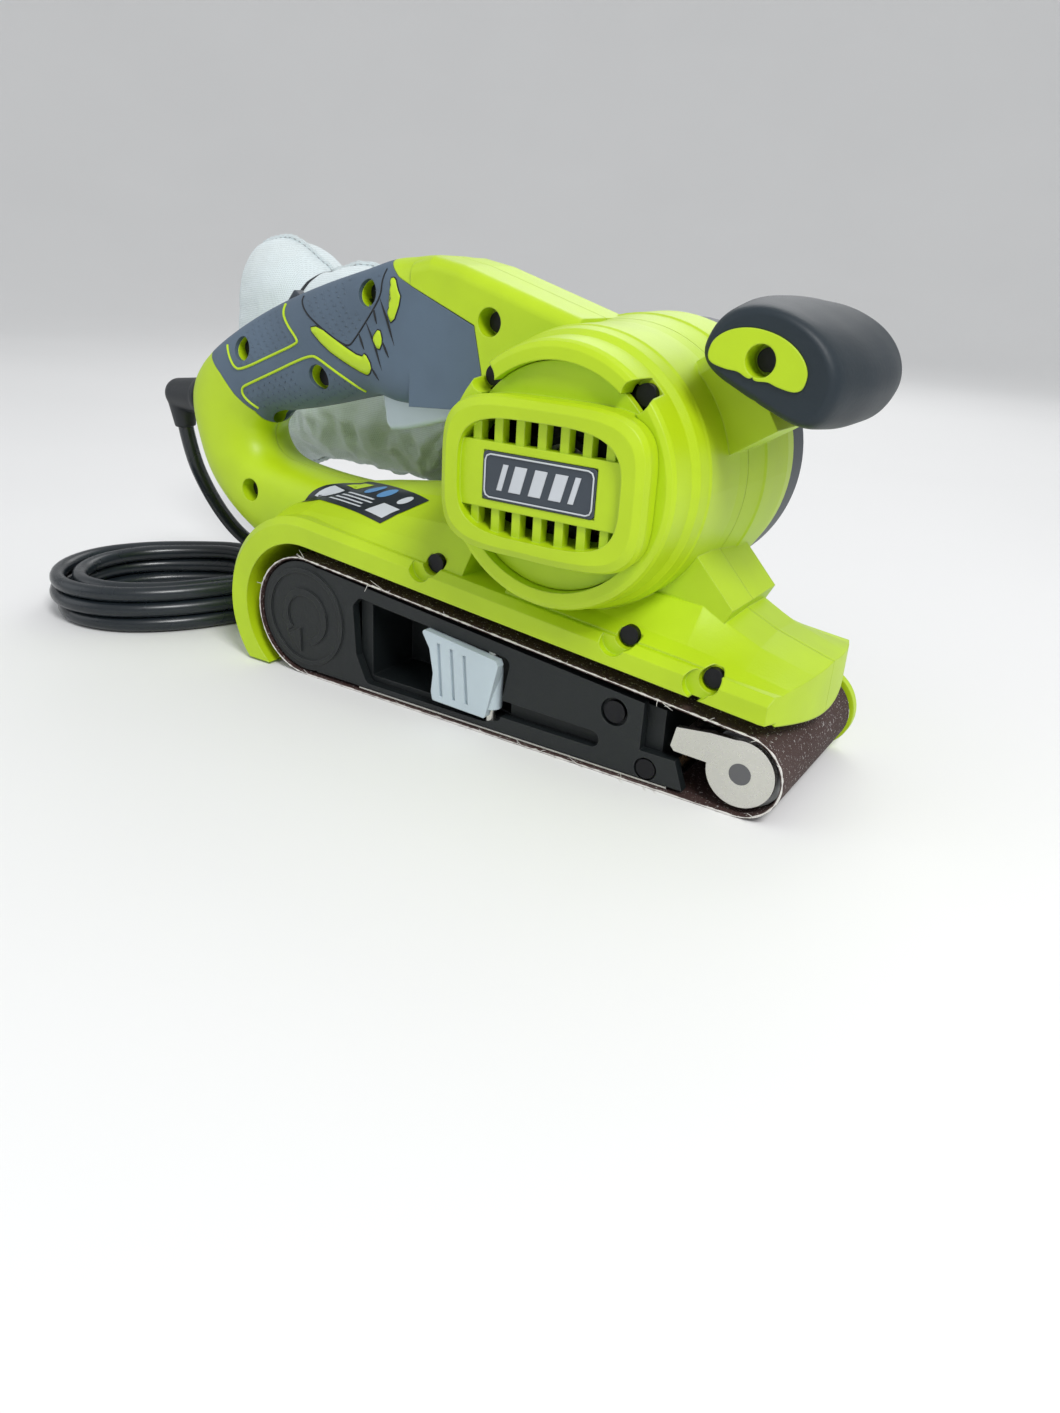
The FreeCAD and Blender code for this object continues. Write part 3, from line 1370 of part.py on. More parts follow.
def build_controls():
    """Trigger, lock-on button, switch block, interference filter and cable clamp."""
    trigger = polygon_slab(
        [(-81.5, 124), (-81.5, 113), (-80.4, 107), (-78, 104.8), (-70, 106), (-58, 109.5),
         (-47, 113), (-43.5, 118), (-43.5, 124)],
        -7.6, 7.6,
    )
    long_edges = [e for e in trigger.Edges
                  if e.CenterOfMass.z < 119 and abs(abs(e.CenterOfMass.y) - 7.6) < 0.01
                  and e.CenterOfMass.x < -46 and e.CenterOfMass.x > -81]
    trigger = trigger.makeFillet(2.2, long_edges)
    bore = y_cylinder(("-47.5", "120.5"), 1.5 + size("shaft_clearance"), -9, 9)
    shaped("trigger", biggest(trigger.cut(bore)))
    node(cylinder("trigger_pin", "1.5", "16.6", "-47.5", "-8.3", "120.5"), "trigger_pin")
    button = polygon_slab([(-146.4, 143), (-133.4, 143), (-133.4, 149.2), (-140.9, 154.6),
        (-146.4, 148.0)], 4.0, 9.6)
    button = button.makeFillet(1.0, [e for e in button.Edges if e.CenterOfMass.z > 149])
    shaped("lock_button", button)
    node(box("switch_block", "46", "22", "18", "-86", "-11", "133"), "switch_block")
    node(box("filter_block", "22", "10", "11", "-124", "-5", "128.5"), "filter_block")
    clamp = Part.makeBox(9, 15.4, 1.4, V(-180, -7.7, 97.3)).fuse(Part.makeBox(9, 15.4, 1.3,
        V(-180, -7.7, 109.4)))
    shaped("cable_clamp", Part.makeCompound(clamp.Solids))


def bean_section(middle, tilt, long_size, short_size, squareness, bow):
    """Rounded section whose middle is bowed upward, in a plane across the handle."""
    angle = math.radians(tilt)
    long_way = V(math.cos(angle), 0, math.sin(angle))
    short_way = V(-math.sin(angle), 0, math.cos(angle))
    ring = superellipse(middle, short_way * short_size, long_way * long_size, squareness, 32)
    bent = []
    for point in ring:
        share = (point - middle).dot(long_way) / long_size
        bent.append(point + short_way * bow * (1 - 2 * share ** 2))
    return bent


def front_grip_skin():
    """Soft grip as one smooth body, bean-shaped at its ends."""
    reach, tilt = size("front_grip_half_width"), size("-front_grip_tilt")
    long_full, short_full = size("front_grip_long"), size("front_grip_short")
    shares = [
        (1.0, 0.74, 0.70, 2.0), (0.97, 0.82, 0.80, 2.0), (0.88, 0.875, 0.87, 1.8),
        (0.7, 0.92, 0.92, 1.3), (0.4, 0.98, 0.98, 0.5), (0.0, 1.0, 1.0, 0.0),
    ]
    mirrored = [(-along, *rest) for along, *rest in reversed(shares[:-1])]
    rings = []
    for along, long_share, short_share, bow in shares + mirrored:
        middle = V(size("front_grip_x"), -reach * along, size("front_grip_z"))
        rings.append(bean_section(middle, tilt, long_full * long_share, short_full * short_share,
            2.5, bow))
    return skinned(rings)


def build_front_handle():
    """Front handle: hard core with bean-shaped ends, a soft grip over it, and its through screw."""
    reach = size("front_grip_half_width")
    core_rings = []
    for share in (-1, -0.5, 0, 0.5, 1):
        middle = V(size("front_grip_x") - 3.7, share * (reach + 0.6), size("front_grip_z") + 1.5)
        core_rings.append(bean_section(middle, -12, 15.8, 6.6, 2.6, 1.7))
    core = skinned(core_rings)
    neck_room = front_neck(36, size("body_gap"))
    shaped("front_grip", biggest(front_grip_skin().cut([core, neck_room])))
    place = ("front_grip_x - 3", "front_grip_z + 1.3")
    bore = y_cylinder(place, size("screw_shank_radius") + 0.15, -reach - 2, reach + 2)
    seat = y_cylinder(place, 4.8, -reach - 2, -reach + 9)
    shaped("front_handle_core", biggest(core.cut([bore, seat, neck_room])))
    start = "-front_grip_half_width + 6.5"
    head = cylinder("front_screw_head", "screw_head_radius", "screw_head_height", place[0], start,
        place[1])
    shank = cylinder("front_screw_shank", "screw_shank_radius", "58", place[0], start, place[1])
    node(joined("front_handle_screw_part", [head, shank]), "front_handle_screw")


# ---------------------------------------------------------------- dust port and bag

def build_dust_port():
    """Port that the bag's collar slides over."""
    outer = cylinder("port_outside", "port_radius", "54", "-76", "port_y", "port_z", ALONG_X)
    inner = cylinder("port_inside", "port_radius - port_wall", "56", "-77", "port_y", "port_z", ALONG_X)
    node(cut("dust_port_part", outer, inner), "dust_port")


BAG_STATIONS = [
    # x, y of the middle, z of the middle, half width, half height
    (-84.3, 55.0, 112.0, 20.0, 22.0),
    (-93.0, 62.0, 113.0, 25.0, 34.0),
    (-107.0, 72.0, 115.0, 29.0, 44.0),
    (-130.0, 79.0, 116.5, 32.0, 46.5),
    (-165.0, 83.0, 116.5, 34.0, 46.5),
    (-195.0, 84.0, 117.5, 34.0, 48.0),
    (-218.0, 84.0, 119.0, 31.0, 51.0),
    (-236.0, 84.0, 119.0, 24.0, 50.0),
    (-247.0, 84.0, 118.0, 12.0, 46.0),
]


def build_dust_bag():
    """Filled fabric bag as a plain soft solid, with its rubber collar on the port."""
    rings = []
    for x, y, z, half_width, half_height in BAG_STATIONS:
        rings.append(superellipse(V(x, y, z), V(0, 0, half_height), V(0, half_width, 0), 2.6))
    shaped("dust_bag", skinned(rings))
    outer = cylinder("collar_outside", "port_radius + 4", "16", "-84", "port_y", "port_z", ALONG_X)
    inner = cylinder("collar_inside", "port_radius + bag_gap", "18", "-85", "port_y", "port_z", ALONG_X)
    node(cut("bag_collar_part", outer, inner), "bag_collar")


# ---------------------------------------------------------------- cord

# Route of the cord by hand: from the sleeve's end down behind the machine to the coil.
DROP_ROUTE = [
    (-213.0, 1.5, 89.0), (-212.8, 4.0, 74.0), (-212.0, 11.0, 57.0), (-210.0, 19.0, 42.0),
    (-206.0, 27.0, 30.0), (-199.0, 36.0, 22.6),
]
# From the coil along the floor to the plug.
TAIL_ROUTE = [
    (-166.0, 18.0, 4.0), (-157.0, 38.0, 4.0), (-151.0, 64.0, 4.0), (-141.0, 88.0, 4.0),
    (-123.0, 102.0, 4.2), (-104.3, 104.0, 7.0),
]
# Middle of the coil's turns on the floor, as one closed loop.
HANK_LOOP = [
    (-173.0, 24.0), (-180.0, -6.0), (-190.0, -36.0), (-206.0, -56.0), (-231.0, -60.0), (-252.0, -43.0),
    (-262.0, -16.0), (-256.0, 6.0), (-236.0, 18.0), (-214.0, 32.0), (-196.0, 46.0), (-178.0, 42.0),
]


def bend_radii(route):
    """Largest tangent arc at each inner point: 0.45 of the shorter run over the half turn's tangent."""
    radii = []
    for before, here, after in zip(route, route[1:], route[2:]):
        arriving = V(*here) - V(*before)
        leaving = V(*after) - V(*here)
        turn = arriving.getAngle(leaving)
        shorter = min(arriving.Length, leaving.Length)
        radii.append(0.45 * shorter / math.tan(turn / 2))
    return radii


def cord_tube(label, route):
    """Round tube along straight runs joined by tangent arcs."""
    points = [V(*point) for point in route]
    radii = bend_radii(route)
    edges = []
    last = points[0]
    for index in range(1, len(points) - 1):
        here = points[index]
        back = (points[index - 1] - here).normalize()
        ahead = (points[index + 1] - here).normalize()
        shorter = min((points[index - 1] - here).Length, (points[index + 1] - here).Length)
        trim = 0.45 * shorter
        start, finish = here + back * trim, here + ahead * trim
        half_turn = (math.pi - back.getAngle(ahead)) / 2
        bisector = (back + ahead).normalize()
        radius = radii[index - 1]
        middle = here + bisector * (radius / math.cos(half_turn) - radius)
        edges.append(Part.LineSegment(last, start).toShape())
        edges.append(Part.Arc(start, middle, finish).toShape())
        last = finish
    edges.append(Part.LineSegment(last, points[-1]).toShape())
    path = Part.Wire(edges)
    section = Part.Wire(Part.makeCircle(size("cord_radius"), points[0], points[1] - points[0]))
    tube = path.makePipeShell([section], True, False)
    expected = math.pi * size("cord_radius") ** 2 * path.Length
    print(label, "length", round(path.Length, 1), "radii", [round(r) for r in radii],
          "volume share", round(tube.Volume / expected, 4))
    return shaped(label, tube)


def build_cord():
    """Bend sleeve, the cord's two free runs, the coil on the floor and the plug."""
    build_sleeve()
    cord_tube("power_cord", DROP_ROUTE)
    cord_tube("cord_tail", TAIL_ROUTE)
    build_hank()
    build_plug()


def build_sleeve():
    """Rubber elbow: a neck held in the housing, a tapered barrel and a spout pointing down."""
    entry, mouth = V(-196.2, 0, 104), V(*DROP_ROUTE[0])
    neck = Part.makeCylinder(5.0, 18.7, V(-196.2, 0, 104), V(1, 0, 0))
    barrel_part = Part.makeCone(8.6, 7.4, 17.0, entry, V(-1, 0, 0))
    elbow = V(entry.x - 17.0, 0, entry.z)
    knuckle = Part.makeSphere(7.4, elbow)
    spout_axis = mouth - elbow
    spout = Part.makeCone(7.0, 4.8, spout_axis.Length, elbow, spout_axis)
    shaped("cord_sleeve", neck.fuse([barrel_part, knuckle, spout]).removeSplitter())


def hank_edge(outward):
    """Closed wire beside the coil's middle line, the given distance outside it."""
    ring = []
    for index, (x, y) in enumerate(HANK_LOOP):
        before = HANK_LOOP[index - 1]
        after = HANK_LOOP[(index + 1) % len(HANK_LOOP)]
        away = V(after[1] - before[1], before[0] - after[0], 0).normalize()
        ring.append(V(x, y, size("hank_base")) - away * outward)
    return closed_curve(ring + ring[:1])


def build_hank():
    """Loose coil lying behind the machine, as one closed band around its turns."""
    half = size("hank_thickness / 2")
    height = V(0, 0, size("hank_height - hank_base"))
    outside, inside = (Part.Face(hank_edge(edge)).extrude(height) for edge in (half, -half))
    shaped("cord_coil", outside.cut(inside))


def build_plug():
    """Two-blade plug lying at the cord's free end."""
    body = Part.makeBox(30, 26, 17, V(-104, 91, 0.5))
    body = body.makeFillet(4, [e for e in body.Edges if abs(e.CenterOfMass.x + 74) > 14])
    blades = [Part.makeBox(18, 1.6, 6.3, V(-74, y, 5.8)) for y in (96.8, 109.5)]
    shaped("plug_body", body)
    shaped("plug_blades", Part.makeCompound(blades))


# ---------------------------------------------------------------- assembly and export

def finish_document():
    """Recomputes, refuses any failed object and writes one STEP file for each sub-part."""
    doc.recompute()
    for thing in doc.Objects:
        if "Invalid" in thing.State or "Error" in thing.State:
            raise RuntimeError(f"{thing.Label} failed to rebuild")
    for thing in NODES:
        shape = thing.Shape
        if shape.isNull() or not shape.isValid() or not shape.Solids:
            raise RuntimeError(f"{thing.Label} has no sound shape")
    os.makedirs("parts", exist_ok=True)
    for thing in NODES:
        thing.Shape.exportStep(f"parts/{thing.Label}.step")
    print(len(NODES), "sub-parts written")


build_housing()
build_housing_screws()
build_vent_cap()
build_emblem_plate()
build_drive_cover()
build_cover_screws()
build_gear_plate()
build_bearings()
build_pulley("motor_pulley", MOTOR_AT, "motor_pulley_radius", "motor_shaft_radius", 11)
build_pulley("drive_pulley", DRIVE_AT, "drive_pulley_radius", "drive_shaft_radius", 44)
build_toothed_belt()
build_motor()
build_brush_gear()
build_belt()
build_drive_roller()
build_idler()
build_main_frame()
build_sole()
build_side_frame()
build_tension_lever()
build_tracking_knob()
build_controls()
build_front_handle()
build_dust_port()
build_dust_bag()
build_cord()
finish_document()
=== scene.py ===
"""Looks of a handheld belt sander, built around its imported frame. All lengths are in metres."""
import math
import random

import bmesh
import bpy
from mathutils import Matrix, Vector, noise
from mathutils.bvhtree import BVHTree


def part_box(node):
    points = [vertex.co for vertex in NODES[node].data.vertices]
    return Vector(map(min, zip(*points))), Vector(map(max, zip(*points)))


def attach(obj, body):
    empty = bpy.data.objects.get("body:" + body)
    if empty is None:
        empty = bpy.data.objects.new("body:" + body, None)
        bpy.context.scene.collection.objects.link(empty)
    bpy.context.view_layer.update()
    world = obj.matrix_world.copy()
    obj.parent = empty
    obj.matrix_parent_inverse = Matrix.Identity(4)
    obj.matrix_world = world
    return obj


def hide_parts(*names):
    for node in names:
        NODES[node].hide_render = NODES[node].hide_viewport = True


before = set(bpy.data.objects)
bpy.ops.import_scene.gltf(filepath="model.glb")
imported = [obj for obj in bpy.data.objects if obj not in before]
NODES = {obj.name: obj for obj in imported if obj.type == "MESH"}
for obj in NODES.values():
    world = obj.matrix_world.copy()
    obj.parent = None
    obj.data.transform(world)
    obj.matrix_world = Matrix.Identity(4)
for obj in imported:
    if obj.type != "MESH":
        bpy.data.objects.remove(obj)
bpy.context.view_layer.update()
MM = 0.001
NEAR, FAR = -1, 1


# ---------------------------------------------------------------- camera

def make_camera():
    """Camera at the reference view: right, up and looking directions as a rotation matrix."""
    looking = Vector((-0.46896, 0.78593, -0.40298)).normalized()
    level_right = looking.cross(Vector((0, 0, 1))).normalized()
    level_up = level_right.cross(looking)
    roll = math.radians(3.7)
    right = level_right * math.cos(roll) + level_up * math.sin(roll)
    up = level_up * math.cos(roll) - level_right * math.sin(roll)
    data = bpy.data.cameras.new("camera")
    data.lens = 25.99
    data.sensor_width = 36.0
    data.clip_start = 0.01
    camera = bpy.data.objects.new("camera", data)
    turn = Matrix((right, up, -looking)).transposed().to_4x4()
    camera.matrix_world = Matrix.Translation((0.19701, -0.34189, 0.17339)) @ turn
    bpy.context.collection.objects.link(camera)
    bpy.context.scene.camera = camera


make_camera()


# ---------------------------------------------------------------- mesh helpers

def show(name, mesh, material=None, smooth=True):
    """Links a mesh as an object with one material."""
    thing = bpy.data.objects.new(name, mesh)
    bpy.context.collection.objects.link(thing)
    if material:
        mesh.materials.append(material)
    mesh.polygons.foreach_set("use_smooth", [smooth] * len(mesh.polygons))
    return thing


def solid(name, points, faces, material=None, smooth=True):
    mesh = bpy.data.meshes.new(name)
    mesh.from_pydata([tuple(p) for p in points], [], faces)
    mesh.update()
    return show(name, mesh, material, smooth)


def placed(thing, body):
    """Names the body a piece rides on."""
    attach(thing, body)
    return thing


def skin_rings(rings, closed=False):
    """Points and faces of a surface through rings of equal length, capped unless closed."""
    count = len(rings[0])
    points = [p for ring in rings for p in ring]
    faces = []
    for row in range(len(rings) if closed else len(rings) - 1):
        here, there = row * count, (row + 1) % len(rings) * count
        for k in range(count):
            m = (k + 1) % count
            faces.append((here + k, here + m, there + m, there + k))
    if not closed:
        faces.append(tuple(reversed(range(count))))
        last = (len(rings) - 1) * count
        faces.append(tuple(last + k for k in range(count)))
    return points, faces


def tube_rings(line, radii, sides=12, closed=False):
    """Rings round a line of points, each square to the line."""
    rings = []
    normal = None
    for k, point in enumerate(line):
        before = line[k - 1] if closed else line[max(k - 1, 0)]
        after = line[(k + 1) % len(line)] if closed else line[min(k + 1, len(line) - 1)]
        along = (after - before).normalized()
        if normal is None:
            normal = along.orthogonal().normalized()
        normal = (normal - along * normal.dot(along)).normalized()
        other = along.cross(normal)
        ring = []
        for side in range(sides):
            angle = 2 * math.pi * side / sides
            ring.append(point + (normal * math.cos(angle) + other * math.sin(angle)) * radii[k])
        rings.append(ring)
    return rings


def spaced_line(corners, step, closed=False):
    """Points along straight runs, about one step apart."""
    ends = corners + corners[:1] if closed else corners
    out = []
    for a, b in zip(ends, ends[1:]):
        cuts = max(1, round((b - a).length / step))
        out += [a.lerp(b, k / cuts) for k in range(cuts)]
    if not closed:
        out.append(ends[-1])
    return out


def rounded(corners, passes=2, closed=True):
    """Corner cutting, for soft outlines."""
    for _ in range(passes):
        out = [] if closed else [corners[0]]
        pairs = zip(corners, corners[1:] + corners[:1]) if closed else zip(corners, corners[1:])
        for a, b in pairs:
            out += [a.lerp(b, 0.25), a.lerp(b, 0.75)]
        corners = out if closed else out + [corners[-1]]
    return corners


def inside(x, z, outline):
    """Whether a point is inside a polygon."""
    found = False
    for a, b in zip(outline, outline[1:] + outline[:1]):
        if (a.y > z) != (b.y > z) and x < a.x + (z - a.y) / (b.y - a.y) * (b.x - a.x):
            found = not found
    return found


# ---------------------------------------------------------------- materials

def add(tree, kind, **settings):
    """A shader node; names of its own properties are set on it, other names are its inputs."""
    made = tree.nodes.new("ShaderNode" + kind)
    for key, value in settings.items():
        if hasattr(made, key):
            setattr(made, key, value)
        else:
            made.inputs[key.replace("_", " ")].default_value = value
    return made


def span(tree, value, low, high, to_low, to_high):
    """Maps a socket's range to another and returns the result."""
    made = add(tree, "MapRange", clamp=True)
    for name, number in (("From Min", low), ("From Max", high), ("To Min", to_low), ("To Max", to_high)):
        made.inputs[name].default_value = number
    tree.links.new(value, made.inputs["Value"])
    return made.outputs["Result"]


def blend_colours(tree, factor, first, second, mode="MIX"):
    """Mixes two colours, each a socket or a tuple."""
    made = tree.nodes.new("ShaderNodeMix")
    made.data_type = "RGBA"
    made.blend_type = mode
    for socket, value in ((0, factor), (6, first), (7, second)):
        if isinstance(value, bpy.types.NodeSocket):
            tree.links.new(value, made.inputs[socket])
        elif socket == 0:
            made.inputs[0].default_value = value
        else:
            made.inputs[socket].default_value = (*value, 1.0)
    return made.outputs[2]


def noise_of(tree, place, scale, detail=2.0, rough=0.5, stretch=None):
    """Noise with features about 1/scale metres across."""
    if stretch:
        mapping = add(tree, "Mapping")
        mapping.inputs["Scale"].default_value = stretch
        tree.links.new(place, mapping.inputs["Vector"])
        place = mapping.outputs["Vector"]
    made = add(tree, "TexNoise", Scale=scale, Detail=detail, Roughness=rough)
    tree.links.new(place, made.inputs["Vector"])
    return made.outputs["Fac"]


def bumps(tree, height, depth, before=None, strength=1.0):
    made = add(tree, "Bump", Strength=strength, Distance=depth)
    tree.links.new(height, made.inputs["Height"])
    if before is not None:
        tree.links.new(before, made.inputs["Normal"])
    return made.outputs["Normal"]


def start(name, metallic=0.0, **settings):
    """New material: its tree, its shader and object coordinates in metres."""
    material = bpy.data.materials.new(name)
    material.use_nodes = True
    tree = material.node_tree
    shader = tree.nodes["Principled BSDF"]
    shader.inputs["Metallic"].default_value = metallic
    for key, value in settings.items():
        shader.inputs[key.replace("_", " ")].default_value = value
    place = add(tree, "TexCoord").outputs["Object"]
    return material, tree, shader, place


def finish_material(tree, shader, colour, roughness, normal):
    tree.links.new(colour, shader.inputs["Base Color"])
    tree.links.new(roughness, shader.inputs["Roughness"])
    tree.links.new(normal, shader.inputs["Normal"])


def soft_edge(tree, radius):
    """Rounded normal at edges, and a mask that is 1 on the edges themselves."""
    rounding = add(tree, "Bevel", samples=6, Radius=radius)
    surface = add(tree, "NewGeometry")
    dot = add(tree, "VectorMath", operation="DOT_PRODUCT")
    tree.links.new(rounding.outputs["Normal"], dot.inputs[0])
    tree.links.new(surface.outputs["Normal"], dot.inputs[1])
    return rounding.outputs["Normal"], span(tree, dot.outputs["Value"], 0.97, 0.8, 0.0, 1.0)


def plastic(name, colour, roughness, grain=2200, grain_depth=0.00004, vary=0.06, edge=0.0005, edge_highlight=0.12,
            **settings):
    """Moulded plastic: fine spark-eroded grain, faint mottling, and a paler painted highlight along the
    edges.
    """
    material, tree, shader, place = start(name, **settings)
    patches = noise_of(tree, place, 28, 3)
    fine = noise_of(tree, place, grain, 2, 0.6)
    specks = noise_of(tree, place, grain * 0.4, 1)
    darker = tuple(c * (1 - vary) for c in colour)
    lighter = tuple(min(1.0, c * (1 + vary)) for c in colour)
    tint = blend_colours(tree, span(tree, patches, 0.35, 0.65, 0, 1), darker, lighter)
    normal, rim = soft_edge(tree, edge)
    # Paler colour blended on along every edge: painted edge highlight.
    pale = tuple(c * 0.55 + 0.42 for c in colour)
    edge_highlighted = blend_colours(tree, span(tree, rim, 0, 1, 0, edge_highlight), tint, pale)
    mottled = add(tree, "Math", operation="MULTIPLY_ADD")
    tree.links.new(patches, mottled.inputs[0])
    mottled.inputs[1].default_value = 0.16
    mottled.inputs[2].default_value = roughness - 0.08
    both = add(tree, "Math", operation="ADD")
    tree.links.new(fine, both.inputs[0])
    tree.links.new(specks, both.inputs[1])
    finish_material(tree, shader, edge_highlighted, mottled.outputs[0],
                    bumps(tree, both.outputs[0], grain_depth, normal, 0.8))
    return material


def metal(name, colour, roughness, stretch=(1, 1, 1), scratch=900, edge=0.0003):
    """Metal with a drawn or ground grain, dull patches and a few scratches."""
    material, tree, shader, place = start(name, metallic=1.0)
    patches = noise_of(tree, place, 60, 4)
    grain = noise_of(tree, place, scratch, 3, 0.6, stretch)
    dull, bright = tuple(c * 0.86 for c in colour), tuple(min(1, c * 1.08) for c in colour)
    tint = blend_colours(tree, patches, dull, bright)
    rough = span(tree, grain, 0.3, 0.7, roughness - 0.07, roughness + 0.1)
    normal, _ = soft_edge(tree, edge)
    finish_material(tree, shader, tint, rough, bumps(tree, grain, 0.00002, normal, 0.7))
    return material


def abrasive(name):
    """Coated abrasive: dense brown-red grit with pale flecks."""
    material, tree, shader, place = start(name, Specular_IOR_Level=0.35)
    grit = add(tree, "TexVoronoi", Scale=1500)
    tree.links.new(place, grit.inputs["Vector"])
    fine = noise_of(tree, place, 3200, 3, 0.7)
    flecks = noise_of(tree, place, 900, 4, 0.75)
    wear = noise_of(tree, place, 22, 3)
    body = blend_colours(tree, fine, (0.010, 0.006, 0.006), (0.085, 0.040, 0.034))
    body = blend_colours(tree, span(tree, wear, 0.45, 0.7, 0, 0.30), body, (0.12, 0.085, 0.08))
    body = blend_colours(tree, span(tree, flecks, 0.60, 0.66, 0, 0.9), body, (0.66, 0.64, 0.62))
    rough = span(tree, fine, 0.3, 0.7, 0.62, 0.9)
    rising = add(tree, "Math", operation="ADD")
    tree.links.new(grit.outputs["Distance"], rising.inputs[0])
    tree.links.new(fine, rising.inputs[1])
    finish_material(tree, shader, body, rough, bumps(tree, rising.outputs[0], 0.00025, None, 0.9))
    return material


def woven(name, colour, pitch, depth, grime=(0.5, 0.47, 0.4), grime_share=0.25, sheen=0.25):
    """Plain weave from two crossed bands, with uneven threads and dusty patches."""
    material, tree, shader, place = start(name, Sheen_Weight=sheen, Sheen_Roughness=0.5)
    heights = []
    for direction in ("X", "Z"):
        band = add(tree, "TexWave", wave_type="BANDS", bands_direction=direction, Scale=0.314 / pitch,
                   Distortion=1.2, Detail=1.0)
        band.inputs["Detail Scale"].default_value = 1.4
        tree.links.new(place, band.inputs["Vector"])
        heights.append(band.outputs["Fac"])
    weave = add(tree, "Math", operation="MAXIMUM")
    tree.links.new(heights[0], weave.inputs[0])
    tree.links.new(heights[1], weave.inputs[1])
    thread = span(tree, weave.outputs[0], 0.4, 1.0, 0.0, 1.0)
    slubs = noise_of(tree, place, 420, 3, 0.6, (1, 1, 0.25))
    patches = noise_of(tree, place, 16, 4, 0.6)
    # Colour is darker where the weave is low: painted shade between the threads.
    tint = blend_colours(tree, thread, tuple(c * 0.80 for c in colour), colour)
    tint = blend_colours(tree, span(tree, slubs, 0.5, 0.8, 0, 0.25), tint, tuple(c * 0.85 for c in colour))
    tint = blend_colours(tree, span(tree, patches, 0.55, 0.8, 0, grime_share), tint, grime)
    rough = span(tree, slubs, 0.3, 0.7, 0.78, 0.95)
    relief = bumps(tree, thread, depth, None, 0.9)
    puckers = bumps(tree, noise_of(tree, place, 60, 3), 0.0006, relief, 0.5)
    finish_material(tree, shader, tint, rough, puckers)
    return material


def soft_rubber(name, colour, roughness, grain=1400, depth=0.00005, edge=0.0006):
    """Overmoulded rubber: pebbled grain, a lighter painted highlight on the edges, and dusty lighter patches.
    """
    return plastic(name, colour, roughness, grain, depth, 0.10, edge, 0.10, Specular_IOR_Level=0.4)


LIME = plastic("lime_plastic", (0.440, 0.620, 0.004), 0.44, edge_highlight=0.10, edge=0.0007)
INSET_LIME = plastic("inset_lime", (0.470, 0.660, 0.006), 0.42, grain=2600, edge=0.0003)
OVERMOULD = soft_rubber("overmould", (0.085, 0.125, 0.175), 0.60)
GRIP_RUBBER = soft_rubber("grip_rubber", (0.012, 0.021, 0.029), 0.52, 1100, 0.00006)
GROOVE_SHADE = plastic("groove_shadow", (0.008, 0.010, 0.013), 0.75)
BLACK = plastic("filled_black", (0.004, 0.007, 0.008), 0.55, grain=1500, grain_depth=0.00007, edge_highlight=0.06)
DARK = plastic("slate_plastic", (0.038, 0.050, 0.066), 0.48, edge_highlight=0.08)
GREY = plastic("grey_plastic", (0.500, 0.590, 0.640), 0.36, edge_highlight=0.20)
CARD = plastic("label_print", (0.018, 0.022, 0.028), 0.30, grain=3000, grain_depth=0.00001)
PRINT = plastic("pale_print", (0.55, 0.58, 0.62), 0.42, grain=3000, grain_depth=0.00001)
RUBBER = soft_rubber("black_rubber", (0.014, 0.017, 0.021), 0.46, 1500, 0.00004)
CORD = plastic("cord_jacket", (0.012, 0.017, 0.022), 0.27, grain=700, grain_depth=0.00003, vary=0.12)
STEEL = metal("zinc_steel", (0.66, 0.65, 0.61), 0.30, (1, 6, 1))
DARK_STEEL = metal("dark_steel", (0.16, 0.16, 0.17), 0.38)
ALLOY = metal("cast_alloy", (0.55, 0.56, 0.57), 0.48, scratch=500)
BRASS = metal("brass", (0.78, 0.58, 0.28), 0.26, (8, 1, 1))
COPPER = metal("copper", (0.70, 0.34, 0.18), 0.34, (1, 10, 1), 1600)
CARBON = plastic("carbon", (0.02, 0.02, 0.02), 0.6)
CORK = plastic("cork", (0.42, 0.25, 0.12), 0.85, grain=700, grain_depth=0.0002, vary=0.3)
GRIT = abrasive("abrasive_grit")
BAG_CLOTH = woven("bag_cotton", (0.74, 0.83, 0.85), 0.0009, 0.00016)
SEAM_THREAD = woven("seam_thread", (0.50, 0.53, 0.55), 0.0005, 0.0001)
TAG_CLOTH = woven("tag_ribbon", (0.36, 0.38, 0.40), 0.0005, 0.0001)
BLUE_PRINT = plastic("blue_print", (0.10, 0.26, 0.50), 0.42, grain=3000, grain_depth=0.00001)
# Near-black steel for the screws: painted shade that makes the screw recesses read as deep.
RECESS_SHADE_STEEL = metal("black_oxide", (0.030, 0.030, 0.033), 0.42)
FRAY = woven("frayed_backing", (0.80, 0.78, 0.74), 0.0005, 0.0001)

